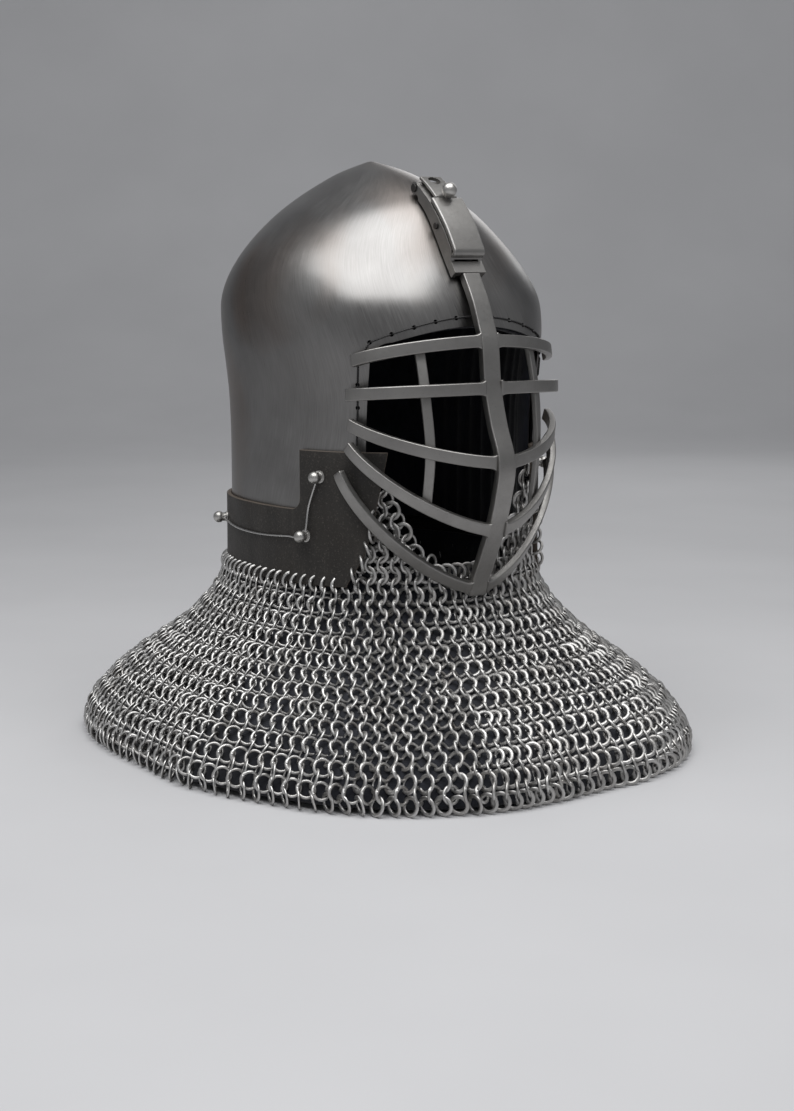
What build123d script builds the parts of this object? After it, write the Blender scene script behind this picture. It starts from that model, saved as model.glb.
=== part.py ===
from build123d import *
import os
from math import cos, sin, pi, radians, sqrt, hypot

os.makedirs("parts", exist_ok=True)

# Bascinet with a barred visor and a mail aventail, in millimetres.
# The face looks along -Y, the wearer's right side is -X and +Z is up.
# The mail hem rests on z = 0 and the origin is the middle of that rest plane.

# Skull shell
skull_half_width = 109.0
skull_front_depth = 120.5
skull_back_depth = 124.0
skull_base_height = 148.0
skull_top_height = 422.3
skull_wall = 2.0
section_points = 24

# height, half width, front depth, back depth and centre as shares, then the roundness power
skull_section_shares = [
    (0.000, 0.940, 0.971, 0.952, 0.000, 2.30),
    (0.135, 0.940, 0.971, 0.952, 0.000, 2.30),
    (0.255, 0.940, 0.971, 0.952, 0.000, 2.30),
    (0.379, 0.948, 0.979, 0.960, 0.000, 2.30),
    (0.463, 0.968, 0.992, 0.976, 0.000, 2.30),
    (0.554, 0.994, 1.000, 0.996, 0.000, 2.30),
    (0.627, 1.000, 0.971, 1.000, 0.004, 2.30),
    (0.693, 0.966, 0.903, 0.976, 0.016, 2.20),
    (0.740, 0.913, 0.830, 0.927, 0.032, 2.10),
    (0.795, 0.803, 0.747, 0.867, 0.048, 2.05),
    (0.862, 0.624, 0.639, 0.762, 0.060, 2.00),
    (0.908, 0.450, 0.515, 0.669, 0.073, 2.00),
    (0.948, 0.294, 0.357, 0.508, 0.085, 2.00),
    (0.977, 0.171, 0.183, 0.355, 0.097, 2.00),
    (1.000, 0.046, -0.050, 0.145, 0.097, 2.00),
]

# Face opening, seen from the front
opening_half_width = 71.5
opening_top_height = 307.3
opening_shoulder_height = 297.0
opening_shoulder_radius = 12.0

# Stitch holes round the face opening: half width and drop from the top one, as shares
lacing_half_width = 77.2
lacing_top_height = 313.8
lacing_drop = 91.8
lacing_shares = [
    (0.983, 0.842),
    (0.984, 0.670),
    (0.994, 0.498),
    (1.000, 0.325),
    (0.933, 0.183),
    (0.777, 0.123),
    (0.596, 0.074),
    (0.402, 0.034),
    (0.198, 0.009),
]
lacing_end_share = 0.955
lacing_hole_radius = 1.4
thread_radius = 0.55
thread_bed = 0.7
thread_wave_share = 0.2
thread_bend_share = 0.4

# Padded liner
liner_thickness = 10.0
liner_gap = 1.5
liner_lip = 1.5
liner_base_clearance = 3.0

# Leather band that carries the mail
leather_thickness = 3.0
leather_gap = 0.3
leather_base_height = 128.0
leather_band_top = 180.0
leather_cheek_top = 222.0
leather_step_y = -49.5
leather_step_radius = 6.0
leather_front_foot = 83.5
leather_front_top = 61.5
# height and width of the front edge as shares, from its foot to its top
leather_front_shares = ((0.0, 1.0), (0.16, 0.70), (0.34, 0.47), (0.62, 0.27), (1.0, 0.0))

# Vervelles: drilled ball-headed studs that hold the leather, and their wire
vervelle_shank_radius = 2.0
vervelle_neck_radius = 3.2
vervelle_neck_length = 6.3
vervelle_ball_radius = 4.3
vervelle_eye_radius = 1.4
vervelle_eye_height = 3.2
vervelle_clench_radius = 3.4
vervelle_clench_height = 0.9
shank_clearance = 0.05
seat_clearance = 0.12
lower_row_height = 162.0
upper_stud_height = 204.0
lower_front_y = -53.5
upper_front_y = -64.3
rear_side_y = 66.0
wire_radius = 0.75
wire_gap = 0.9
wire_sag = 3.5
wire_eye_bend = 2.0
wire_bend_share = 0.42
wire_short_shares = (0.5,)
wire_long_shares = (0.12, 0.30, 0.50, 0.70, 0.88)
wire_rear_shares = (0.86, 0.68, 0.50, 0.30, 0.12)

# Mail aventail
skirt_half_width = 208.0
skirt_half_depth = 240.0
mail_thickness = 3.0
mail_flare_thickness = 4.5
mail_gap = 0.4
mail_bib_height = 190.0
mail_bib_low = 138.0
mail_bib_half_width = 71.0
mail_bib_recess = 6.5
mail_fold_depth = 5.0
mail_points = 42
mail_fold_counts = (7, 12)
mail_fold_shares = (0.65, 0.35)
mail_fold_turns = (0.6, 2.1)
mail_course_depth = 1.6
mail_courses = 23
mail_bib_courses = 8
# the bib's side edge as shares of its foot's extra width and of its rise, and its lower edge
mail_bib_side_shares = ((1.0, 0.0), (0.4, 0.25), (0.0, 0.29), (0.0, 0.55))
mail_bib_top_share = 0.94
mail_bib_dip_shares = ((0.83, 0.66), (0.64, 0.33), (0.36, 0.09))
lining_gap = 0.5
lining_thickness = 2.5

# height as a share of the leather's lower edge, spread as a share of the flare
skirt_profile_shares = [
    (0.000, 0.985),
    (0.070, 1.000),
    (0.172, 0.955),
    (0.258, 0.875),
    (0.352, 0.765),
    (0.445, 0.625),
    (0.531, 0.485),
    (0.625, 0.325),
    (0.727, 0.195),
    (0.836, 0.085),
    (0.930, 0.020),
    (1.000, 0.000),
]

# Brow hinge, side view: y runs forward from the hinge top and z runs down from it
hinge_top_y = -64.0
hinge_top_height = 410.3
hinge_reach = 50.9
hinge_drop = 54.5
hinge_outer_shares = [
    (0.0, 0.0),
    (0.18, 0.105),
    (0.39, 0.26),
    (0.59, 0.45),
    (0.77, 0.655),
    (0.90, 0.84),
    (1.0, 1.0),
]
plate_half_width = 13.0
tongue_half_width = 9.0
tongue_length = 24.5
plate_thickness = 3.3
tongue_thickness = 2.4
lip_depth = 7.2
lip_drop = 2.2
lip_thickness = 2.6
cheek_thickness = 3.0
cheek_foot_gap = 1.0
arm_web_thickness = 3.6
arm_web_step = 8.0
arm_end_y = -113.6
arm_end_height = 343.8
scallop_radius = 3.2
scallop_along = 15.5
pin_radius = 2.0
pin_head_radius = 2.9
pin_head_height = 0.8
knuckle_radius = 4.4
knuckle_side_gap = 0.4
cheek_lobe_radius = 4.4
pin_depth = 7.4
pin_along = 3.8
pin_running_clearance = 0.05
base_strap_thickness = 2.2
base_strap_half_width = 8.0
base_strap_start = 5.0
base_strap_length = 29.0
base_gap = 0.3
base_rivet_radius = 1.6
base_rivet_head_radius = 3.0
base_rivet_head_height = 0.9
base_rivet_alongs = (14.5, 26.0)
tongue_eye_radius = 4.5
tongue_eye_along = 6.0
stud_ball_radius = 5.2
stud_neck_radius = 2.6
stud_rise = 5.5
stud_shank_radius = 1.5
stud_along = 24.0
cross_bolt_radius = 1.6
cross_bolt_head_radius = 2.5
cross_bolt_head_height = 1.2
cross_bolt_y = -90.5
cross_bolt_height = 375.5

# Visor grille
centre_bar_half_width = 7.0
centre_bar_thickness = 6.0
bar_height = 8.6
bar_thickness = 5.0
visor_reach = 158.0
visor_top_height = 343.8
visor_drop = 224.0
# forward reach as a share of visor_reach and height as a share of visor_drop below its top
centre_bar_shares = [
    (0.724, 0.000),
    (0.796, 0.083),
    (0.842, 0.158),
    (0.868, 0.205),
    (0.894, 0.348),
    (0.938, 0.455),
    (1.000, 0.571),
    (0.974, 0.683),
    (0.925, 0.784),
    (0.808, 0.955),
    (0.781, 1.000),
]
# each bar: end half width, end reach, end height, middle reach, middle height, roundness power
bar_1_sizes = (84.2, 91.1, 284.4, 137.2, 298.0, 1.70)
bar_2_sizes = (87.0, 88.5, 261.5, 142.3, 265.8, 2.00)
bar_3_sizes = (86.5, 90.2, 241.7, 156.6, 216.0, 1.55)
bar_4_sizes = (88.1, 90.7, 226.9, 149.0, 168.0, 1.52)
bar_5_sizes = (92.5, 85.7, 208.5, 126.8, 124.5, 1.52)
bar_tilts = (-6.0, 0.0, 0.0, 20.0, 28.0)
bar_slope_share = 0.01
bar_stations = 9
inner_bar_half_width = 49.5
inner_bar_width = 7.0
inner_bar_thickness = 4.0
inner_bar_gap = 0.8
inner_bar_overrun = 4.0
inner_bar_crossings = 4
inner_bar_halvings = 20
inner_bar_stations = 16
weld_gap = 0.5

# Allowance by which cutting tools run past what they cut, and the least difference counted
overrun = 20.0
tiny = 0.000001
least_turn = 1.0


def lerp_table(rows, height, column):
    """Read one column of a height-sorted table at a height."""
    if height <= rows[0][0]:
        return rows[0][column]
    for low, high in zip(rows[:-1], rows[1:]):
        if height <= high[0]:
            share = (height - low[0]) / (high[0] - low[0])
            return low[column] + share * (high[column] - low[column])
    return rows[-1][column]


def skull_rows(inset):
    """Section sizes of the skull surface moved inward by inset along its profile."""
    height = skull_top_height - skull_base_height
    rows = []
    for z, wide, front, back, mid, power in skull_section_shares:
        rows.append((
            skull_base_height + z * height,
            wide * skull_half_width,
            front * skull_front_depth,
            back * skull_back_depth,
            mid * skull_back_depth,
            power,
        ))
    moved = []
    for i, row in enumerate(rows):
        before = rows[max(i - 1, 0)]
        after = rows[min(i + 1, len(rows) - 1)]
        rise = after[0] - before[0]
        size_after = after[1] + after[2] + after[3]
        size_before = before[1] + before[2] + before[3]
        spread = (size_after - size_before) / 3
        slant = hypot(rise, spread)
        side = rise / slant * inset
        up = -spread / slant * inset
        if i == len(rows) - 1:
            side = 0
            up = inset
        moved.append((row[0] - up, row[1] - side, row[2] - side, row[3] - side, row[4], row[5]))
    return moved


def smooth_rows(rows, count):
    """Monotone cubic rows between the given ones, so that a loft does not ripple."""
    slopes = []
    for k in range(len(rows)):
        line = []
        for c in range(1, len(rows[0])):
            before = rows[max(k - 1, 0)]
            after = rows[min(k + 1, len(rows) - 1)]
            low = (rows[k][c] - before[c]) / max(rows[k][0] - before[0], tiny)
            high = (after[c] - rows[k][c]) / max(after[0] - rows[k][0], tiny)
            if k == 0:
                low = high
            if k == len(rows) - 1:
                high = low
            line.append(2 * low * high / (low + high) if low * high > 0 else 0)
        slopes.append(line)
    dense = []
    for k in range(len(rows) - 1):
        span = rows[k + 1][0] - rows[k][0]
        for j in range(count):
            t = j / count
            row = [rows[k][0] + span * t]
            for c in range(1, len(rows[0])):
                a = rows[k][c]
                b = rows[k + 1][c]
                m = slopes[k][c - 1] * span
                n = slopes[k + 1][c - 1] * span
                row.append(a * (2 * t ** 3 - 3 * t ** 2 + 1) + m * (t ** 3 - 2 * t ** 2 + t)
                           + b * (3 * t ** 2 - 2 * t ** 3) + n * (t ** 3 - t ** 2))
            dense.append(tuple(row))
    return dense + [rows[-1]]


def section_wire(wide, front, back, mid, power, z):
    """Closed egg-shaped outline with separate front and back depths."""
    points = []
    for k in range(section_points):
        angle = 2 * pi * k / section_points
        c = cos(angle)
        s = sin(angle)
        x = wide * abs(c) ** (2 / power) * (1 if c > 0 else -1)
        reach = (back - mid) if s > 0 else (front + mid)
        y = mid + reach * abs(s) ** (2 / power) * (1 if s > 0 else -1)
        points.append(Vector(x, y, z))
    return Wire([Edge.make_spline(points, periodic=True)])


def skull_solid(inset, base_height):
    """Closed dome inside the skull surface, cut level at base_height."""
    rows = smooth_rows(skull_rows(inset), 2)
    first = rows[0]
    rows = [row for row in rows if row[0] > base_height + skull_wall]
    wires = [section_wire(first[1], first[2], first[3], first[4], first[5], base_height)]
    for row in rows:
        wires.append(section_wire(row[1], row[2], row[3], row[4], row[5], row[0]))
    return Solid.make_loft(wires)


def ring_solid(inset_outer, inset_inner, low, high):
    """Upright wall that follows the lower skull outline."""
    row = skull_rows(0)[0]
    walls = []
    for inset in (inset_outer, inset_inner):
        wire = section_wire(row[1] - inset, row[2] - inset, row[3] - inset, row[4], row[5], low)
        walls.append(Solid.extrude(Face(wire), Vector(0, 0, high - low)))
    return walls[0] - walls[1]


def prism_y(points, y_from, y_to):
    """Prism along Y from a front-view outline of (x, z) points."""
    face = Face(Wire.make_polygon([Vector(x, y_from, z) for x, z in points]))
    return Solid.extrude(face, Vector(0, y_to - y_from, 0))


def prism_x(points, x_from, x_to):
    """Prism along X from a side-view outline of (y, z) points."""
    face = Face(Wire.make_polygon([Vector(x_from, y, z) for y, z in points]))
    return Solid.extrude(face, Vector(x_to - x_from, 0, 0))


def rod(start, end, radius):
    """Round rod between two points."""
    a = Vector(*start)
    b = Vector(*end)
    plane = Plane(origin=a, z_dir=(b - a))
    return Solid.make_cylinder(radius, (b - a).length, plane)


def ball(centre, radius):
    return Solid.make_sphere(radius, Plane(origin=Vector(*centre)), -90, 90, 360)


def opening_outline(inset, low):
    """Arched face opening, (x, z) points from the lower right round to the lower left."""
    half = opening_half_width - inset
    shoulder = opening_shoulder_height - inset
    top = opening_top_height - inset
    radius = opening_shoulder_radius - inset
    right = [(half, low), (half, shoulder - radius)]
    steps = 5
    for k in range(1, steps + 1):
        turn = radians(90 * k / (steps + 1))
        right.append((half - radius + radius * cos(turn), shoulder - radius + radius * sin(turn)))
    flat = half - radius
    for k in range(steps):
        share = 1 - k / steps
        right.append((flat * share, top - (top - shoulder) * share ** 2))
    left = [(-x, z) for x, z in reversed(right)]
    return right + [(0, top)] + left


def front_y(x, z, inset=0):
    """Front surface of the skull at a place, moved inward by inset."""
    rows = smooth_rows(skull_rows(inset), 8)
    wide, front, mid, power = [lerp_table(rows, z, k) for k in (1, 2, 4, 5)]
    across = min(abs(x) / wide, 1)
    return mid - (front + mid) * (1 - across ** power) ** (1 / power)


def wall_place(y, side, inset=0):
    """Point and outward normal on the lower skull wall at a given y."""
    row = skull_rows(0)[0]
    wide = row[1] - inset
    depth = (row[3] if y > 0 else row[2]) - inset
    power = row[5]
    across = wide * (1 - (abs(y) / depth) ** power) ** (1 / power)
    nx = (across / wide) ** (power - 1) / wide
    ny = (abs(y) / depth) ** (power - 1) / depth * (1 if y > 0 else -1)
    size = hypot(nx, ny)
    return Vector(side * across, y, 0), Vector(side * nx / size, ny / size, 0)


def make_skull():
    outer = skull_solid(0, skull_base_height)
    inner = skull_solid(skull_wall, skull_base_height - overrun)
    window = prism_y(opening_outline(0, skull_base_height - overrun), -skull_front_depth - overrun, 0)
    tools = [inner, window]
    for place, normal in vervelle_places():
        start = place - normal * (skull_wall * 3)
        end = place + normal * (skull_wall * 3)
        tools.append(rod(start, end, vervelle_shank_radius + shank_clearance))
    for x, z in lacing_places():
        y = front_y(x, z)
        tools.append(rod((x, y - skull_wall * 3, z), (x, y + skull_wall * 4, z), lacing_hole_radius))
    for place, normal in base_rivet_places():
        start = place - normal * (skull_wall * 3)
        end = place + normal * (skull_wall * 3)
        tools.append(rod(start, end, base_rivet_radius + shank_clearance))
    return outer.cut(*tools)


def lacing_places():
    """Stitch holes round the face opening, from the lower right round to the lower left."""
    right = [(-lacing_half_width * a, lacing_top_height - lacing_drop * b) for a, b in lacing_shares]
    return right + [(0, lacing_top_height)] + [(-x, z) for x, z in reversed(right)]


def make_thread():
    """Stitching thread laid along the holes, just proud of the skull."""
    places = lacing_places()
    foot = (places[0][0], lacing_top_height - lacing_drop * lacing_end_share)
    places = [foot] + places + [(-foot[0], foot[1])]
    route = [places[0]]
    for a, b in zip(places[:-1], places[1:]):
        route += [((a[0] + b[0]) / 2, (a[1] + b[1]) / 2), b]
    points = []
    for k, (x, z) in enumerate(route):
        rise = thread_radius + thread_bed * (1 + thread_wave_share * (k % 2))
        points.append(Vector(x * (1 + rise / opening_half_width), front_y(x, z, -rise), z))
    path = FilletPolyline(*points, radius=bend_radii(points, thread_bend_share))
    start = Plane(origin=path @ 0, z_dir=path % 0)
    return sweep(start * Circle(thread_radius), path=path)


def bend_radii(points, share):
    """Radius at each inner corner of a route whose arcs use a share of the shorter run beside them."""
    gaps = [(b - a).length for a, b in zip(points[:-1], points[1:])]
    radii = []
    for k in range(1, len(points) - 1):
        turn = (points[k] - points[k - 1]).get_angle(points[k + 1] - points[k])
        half = radians(max(turn, least_turn)) / 2
        radii.append(share * min(gaps[k - 1], gaps[k]) * cos(half) / sin(half))
    return radii


def make_liner():
    outer = skull_solid(skull_wall + liner_gap, skull_base_height + liner_base_clearance)
    inner = skull_solid(skull_wall + liner_gap + liner_thickness, skull_base_height - overrun)
    window = prism_y(
        opening_outline(liner_lip, skull_base_height - overrun), -skull_front_depth - overrun, 0
    )
    return outer - inner - window


def make_leather():
    ring = ring_solid(-leather_gap - leather_thickness, -leather_gap, leather_base_height, leather_cheek_top)
    back = skull_back_depth + overrun
    side = skull_half_width + overrun
    step = Box(2 * side, back - leather_step_y, leather_cheek_top - leather_band_top + overrun,
               align=(Align.CENTER, Align.MIN, Align.MIN))
    step = Pos(0, leather_step_y, leather_band_top) * step
    corner = step.edges().filter_by(Axis.X).sort_by(Axis.Z)[:2].sort_by(Axis.Y)[0]
    step = fillet(corner, leather_step_radius)
    face_gap = prism_y(leather_front_outline(0, overrun), -skull_front_depth - overrun, 0)
    holes = []
    for place, normal in vervelle_places():
        end = place + normal * (leather_thickness * 3)
        holes.append(rod(place, end, vervelle_shank_radius + shank_clearance))
    return ring.cut(step, face_gap, *holes)


def leather_front_outline(gap, rise):
    """Front edges of the leather seen from the front, closed above and below."""
    low = leather_base_height
    tall = leather_cheek_top - low
    span = leather_front_foot - leather_front_top
    right = [(leather_front_foot - gap, low - rise)]
    right += [(leather_front_top + span * wide - gap, low + tall * high) for high, wide in leather_front_shares]
    right += [(leather_front_top - gap, leather_cheek_top + rise)]
    return right + [(-x, z) for x, z in reversed(right)]


def vervelle_places():
    """Feet of the vervelles on the outer face of the skull, with their directions."""
    spots = [
        (upper_front_y, upper_stud_height),
        (lower_front_y, lower_row_height),
        (rear_side_y, lower_row_height),
    ]
    places = []
    for side in (-1, 1):
        for y, z in spots:
            point, normal = wall_place(y, side)
            places.append((Vector(point.X, point.Y, z), normal))
    back = skull_rows(0)[0][3]
    places.append((Vector(0, back, lower_row_height), Vector(0, 1, 0)))
    return places


def make_vervelles():
    seat = leather_gap + leather_thickness
    studs = []
    for place, normal in vervelle_places():
        foot = place + normal * (seat + seat_clearance)
        clench_top = place - normal * (skull_wall + seat_clearance)
        shank_start = clench_top - normal * vervelle_clench_height
        clench_end = clench_top - shank_start
        rise = (foot - shank_start).length
        centre = rise + vervelle_neck_length
        join = sqrt(vervelle_ball_radius ** 2 - vervelle_neck_radius ** 2)
        side = Polyline(
            (0, 0), (vervelle_clench_radius, 0), (vervelle_clench_radius, clench_end.length),
            (vervelle_shank_radius, clench_end.length), (vervelle_shank_radius, rise),
            (vervelle_neck_radius, rise), (vervelle_neck_radius, centre - join),
        )
        cap = ThreePointArc(
            (vervelle_neck_radius, centre - join), (vervelle_ball_radius, centre),
            (0, centre + vervelle_ball_radius),
        )
        axis_line = Line((0, centre + vervelle_ball_radius), (0, 0))
        outline = make_face(Plane.XZ * (side + cap + axis_line))
        turned = revolve(outline, Axis.Z, 360)
        stud = Plane(origin=shank_start, z_dir=normal).location * turned
        eye = place + normal * (seat + vervelle_eye_height)
        stud = stud - ball(eye, vervelle_eye_radius)
        for arm in wire_directions(eye):
            stud = stud - rod(eye, eye + arm * (3 * vervelle_ball_radius), vervelle_eye_radius)
        studs.append(stud)
    return studs


def wire_directions(eye):
    """Directions in which the wire leaves an eye."""
    points = wire_points()
    nearest = min(range(len(points)), key=lambda k: (points[k] - eye).length)
    arms = []
    for k in (nearest - 1, nearest + 1):
        arms.append((points[k] - points[nearest]).normalized())
    return arms


def wire_points():
    """Route of the holding wire through every vervelle eye, right side to left side."""
    seat = leather_gap + leather_thickness
    eye_out = seat + vervelle_eye_height
    bed_out = seat + wire_gap + wire_radius
    stops = [
        (upper_front_y, upper_stud_height),
        (lower_front_y, lower_row_height),
        (rear_side_y, lower_row_height),
    ]
    route = []
    foot, normal = wall_place(upper_front_y, -1)
    route.append(foot + normal * eye_out + Vector(0, 0, upper_stud_height + vervelle_ball_radius))
    for i, (y, z) in enumerate(stops):
        foot, normal = wall_place(y, -1)
        route.append(foot + normal * eye_out + Vector(0, 0, z))
        if i == 0:
            shares = wire_short_shares
            sag = 0
            y_end, z_end = stops[1]
        elif i == 1:
            shares = wire_long_shares
            sag = wire_sag
            y_end, z_end = stops[2]
        else:
            continue
        for share in shares:
            place = wall_place(y + (y_end - y) * share, -1, -bed_out)[0]
            drop = 4 * sag * share * (1 - share)
            route.append(Vector(place.X, place.Y, z + (z_end - z) * share - drop))
    row = skull_rows(0)[0]
    for share in wire_rear_shares:
        start = wall_place(rear_side_y, -1, -bed_out)[0]
        x = start.X * share
        depth = row[3] + bed_out
        y = depth * (1 - (abs(x) / (row[1] + bed_out)) ** row[5]) ** (1 / row[5])
        route.append(Vector(x, y, lower_row_height - 4 * wire_sag * share * (1 - share)))
    middle = Vector(0, row[3] + eye_out, lower_row_height)
    mirrored = [Vector(-p.X, p.Y, p.Z) for p in reversed(route)]
    return route + [middle] + mirrored


def make_wire():
    points = wire_points()
    eye_out = leather_gap + leather_thickness + vervelle_eye_height
    eyes = [place + normal * eye_out for place, normal in vervelle_places()]
    radii = bend_radii(points, wire_bend_share)
    for k, point in enumerate(points[1:-1]):
        if any((point - eye).length < wire_radius for eye in eyes):
            radii[k] = wire_eye_bend
    path = FilletPolyline(*points, radius=radii)
    start = Plane(origin=path @ 0, z_dir=path % 0)
    return sweep(start * Circle(wire_radius), path=path)


def mail_wire(spread, inset, z):
    """One level outline of the mail, with soft folds that grow with the spread."""
    row = skull_rows(0)[0]
    out = leather_gap + leather_thickness
    wide = row[1] + out + spread * (skirt_half_width - row[1] - out) - inset
    front = row[2] + out - mail_bib_recess
    front = front + spread * (skirt_half_depth - front) - inset
    back = row[3] + out + spread * (skirt_half_depth - row[3] - out) - inset
    power = row[5]
    points = []
    for k in range(mail_points):
        angle = 2 * pi * k / mail_points
        fold = 0
        for count, share, turn in zip(mail_fold_counts, mail_fold_shares, mail_fold_turns):
            fold += share * (cos(count * angle + turn) - 1) / 2
        ease = 1 + fold * mail_fold_depth * 2 * spread * (1 - spread / 2) / skirt_half_width
        c = cos(angle)
        s = sin(angle)
        x = wide * ease * abs(c) ** (2 / power) * (1 if c > 0 else -1)
        reach = back if s > 0 else front
        y = reach * ease * abs(s) ** (2 / power) * (1 if s > 0 else -1)
        points.append(Vector(x, y, z))
    return Wire([Edge.make_spline(points, periodic=True)])


def course_rows(tall):
    """Heights and spreads up the mail at even steps of half a course of rings along its fall."""
    dense = smooth_rows(skirt_profile_shares, section_points)
    reach = skirt_half_width - skull_half_width
    runs = [0]
    for low, high in zip(dense[:-1], dense[1:]):
        runs.append(runs[-1] + hypot((high[0] - low[0]) * tall, (high[1] - low[1]) * reach))
    measured = [(run, row[0] * tall, row[1]) for run, row in zip(runs, dense)]
    places = [runs[-1] * k / (2 * mail_courses) for k in range(2 * mail_courses + 1)]
    return [(lerp_table(measured, place, 1), lerp_table(measured, place, 2)) for place in places]


def course_inset(k):
    """Depth of the mail's face at the crest of a course of rings, or between two of them."""
    return mail_course_depth * (k % 2)


def make_mail():
    """Mail with its courses of rings as ridges, and the bib that climbs inside the leather's front edges."""
    tall = leather_base_height - mail_gap
    outer = [mail_wire(spread, course_inset(k), high) for k, (high, spread) in enumerate(course_rows(tall))]
    inner = []
    for high, spread in skirt_profile_shares:
        inset = mail_thickness + (mail_flare_thickness - mail_thickness) * min(3 * spread, 1)
        inner.append(mail_wire(spread, inset, high * tall))
    skirt = Solid.make_loft(outer, ruled=True) - Solid.make_loft(inner)
    climb = (mail_bib_height - tall) / (2 * mail_bib_courses)
    neck_wires = [mail_wire(0, course_inset(k), tall + climb * k) for k in range(2 * mail_bib_courses + 1)]
    neck_inner = Solid.extrude(Face(mail_wire(0, mail_thickness, tall)), Vector(0, 0, mail_bib_height - tall))
    neck = Solid.make_loft(neck_wires, ruled=True) - neck_inner
    keep = prism_y(bib_outline(tall), -skull_front_depth - overrun, 0)
    bib = neck & keep
    return skirt + bib


def make_lining():
    """Cloth that lines the mail from the leather's lower edge to the hem."""
    tall = leather_base_height - mail_gap
    outer = []
    inner = []
    for high, spread in skirt_profile_shares:
        inset = mail_thickness + (mail_flare_thickness - mail_thickness) * min(3 * spread, 1) + lining_gap
        outer.append(mail_wire(spread, inset, high * tall))
        inner.append(mail_wire(spread, inset + lining_thickness, high * tall))
    return Solid.make_loft(outer) - Solid.make_loft(inner)


def bib_outline(low):
    """Front view of the mail that climbs inside the leather's front edges."""
    half = mail_bib_half_width
    foot = leather_front_foot - mail_gap
    rise = mail_bib_height - low
    side = [(half + (foot - half) * wide, low + rise * high) for wide, high in mail_bib_side_shares]
    drop = mail_bib_height - mail_bib_low
    dip = [(half * wide, mail_bib_low + drop * high) for wide, high in mail_bib_dip_shares]
    right = side + [(half * mail_bib_top_share, mail_bib_height)] + dip
    return right + [(0, mail_bib_low)] + [(-x, z) for x, z in reversed(right)]


def hinge_point(share):
    """Point of the cover's outer side profile at a share of its run, with its outward normal."""
    rows = hinge_outer_shares
    ys = [hinge_top_y - hinge_reach * a for a, b in rows]
    zs = [hinge_top_height - hinge_drop * b for a, b in rows]
    place = share * (len(rows) - 1)
    k = min(int(place), len(rows) - 2)
    part = place - k
    y = ys[k] + part * (ys[k + 1] - ys[k])
    z = zs[k] + part * (zs[k + 1] - zs[k])
    before = max(k - 1, 0) if part < 0.5 else k
    after = min(before + 2, len(rows) - 1)
    dy = ys[after] - ys[before]
    dz = zs[after] - zs[before]
    size = hypot(dy, dz)
    return (y, z), (dz / size, -dy / size)


def hinge_curve(depth, start, end, steps):
    """Side-view points at a depth under the cover's outer profile."""
    points = []
    for k in range(steps + 1):
        share = start + (end - start) * k / steps
        (y, z), (ny, nz) = hinge_point(share)
        points.append((y - ny * depth, z - nz * depth))
    return points


def along_share(distance):
    """Share of the hinge run at a distance along the outer profile."""
    total = 0
    steps = 120
    last = hinge_point(0)[0]
    for k in range(1, steps + 1):
        point = hinge_point(k / steps)[0]
        total += hypot(point[0] - last[0], point[1] - last[1])
        last = point
        if total >= distance:
            return k / steps
    return 1


def pin_centre():
    (y, z), (ny, nz) = hinge_point(along_share(pin_along))
    return y - ny * pin_depth, z - nz * pin_depth


def brow_line(gap, z_top, z_low, steps, x=0):
    """Side-view points a gap outside the skull, from z_top down to z_low."""
    points = []
    for k in range(steps + 1):
        z = z_top + (z_low - z_top) * k / steps
        points.append((front_y(x, z, -gap), z))
    return points


def make_cover_plate():
    """Curved cover with a narrow tongue at its top and a turned-in lip at its foot."""
    split = along_share(tongue_length)
    steps = 20
    tongue = prism_x(
        hinge_curve(0, 0, split, steps) + hinge_curve(tongue_thickness, 0, split, steps)[::-1],
        -tongue_half_width, tongue_half_width,
    )
    (end_y, end_z), (ny, nz) = hinge_point(1)
    down_y, down_z = -nz, ny
    lip_y = end_y - ny * lip_depth + down_y * lip_drop
    lip_z = end_z - nz * lip_depth + down_z * lip_drop
    lip = [(lip_y, lip_z), (lip_y - down_y * lip_thickness, lip_z - down_z * lip_thickness)]
    body = prism_x(
        hinge_curve(0, split, 1, steps) + lip
        + hinge_curve(plate_thickness, split, 1 - lip_thickness / hinge_drop, steps)[::-1],
        -plate_half_width, plate_half_width,
    )
    plate = tongue + body
    (eye_y, eye_z), (ny, nz) = hinge_point(along_share(tongue_eye_along))
    plate = plate - rod((0, eye_y - ny * plate_thickness * 2, eye_z - nz * plate_thickness * 2),
                        (0, eye_y + ny * plate_thickness, eye_z + nz * plate_thickness), tongue_eye_radius)
    start, end = stud_line()
    plate = plate - rod(start, end, stud_shank_radius + shank_clearance)
    return plate


def stud_line():
    (y, z), (ny, nz) = hinge_point(along_share(stud_along))
    low = plate_thickness + arm_web_thickness + pin_head_height
    return Vector(0, y - ny * low, z - nz * low), Vector(0, y, z)


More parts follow.
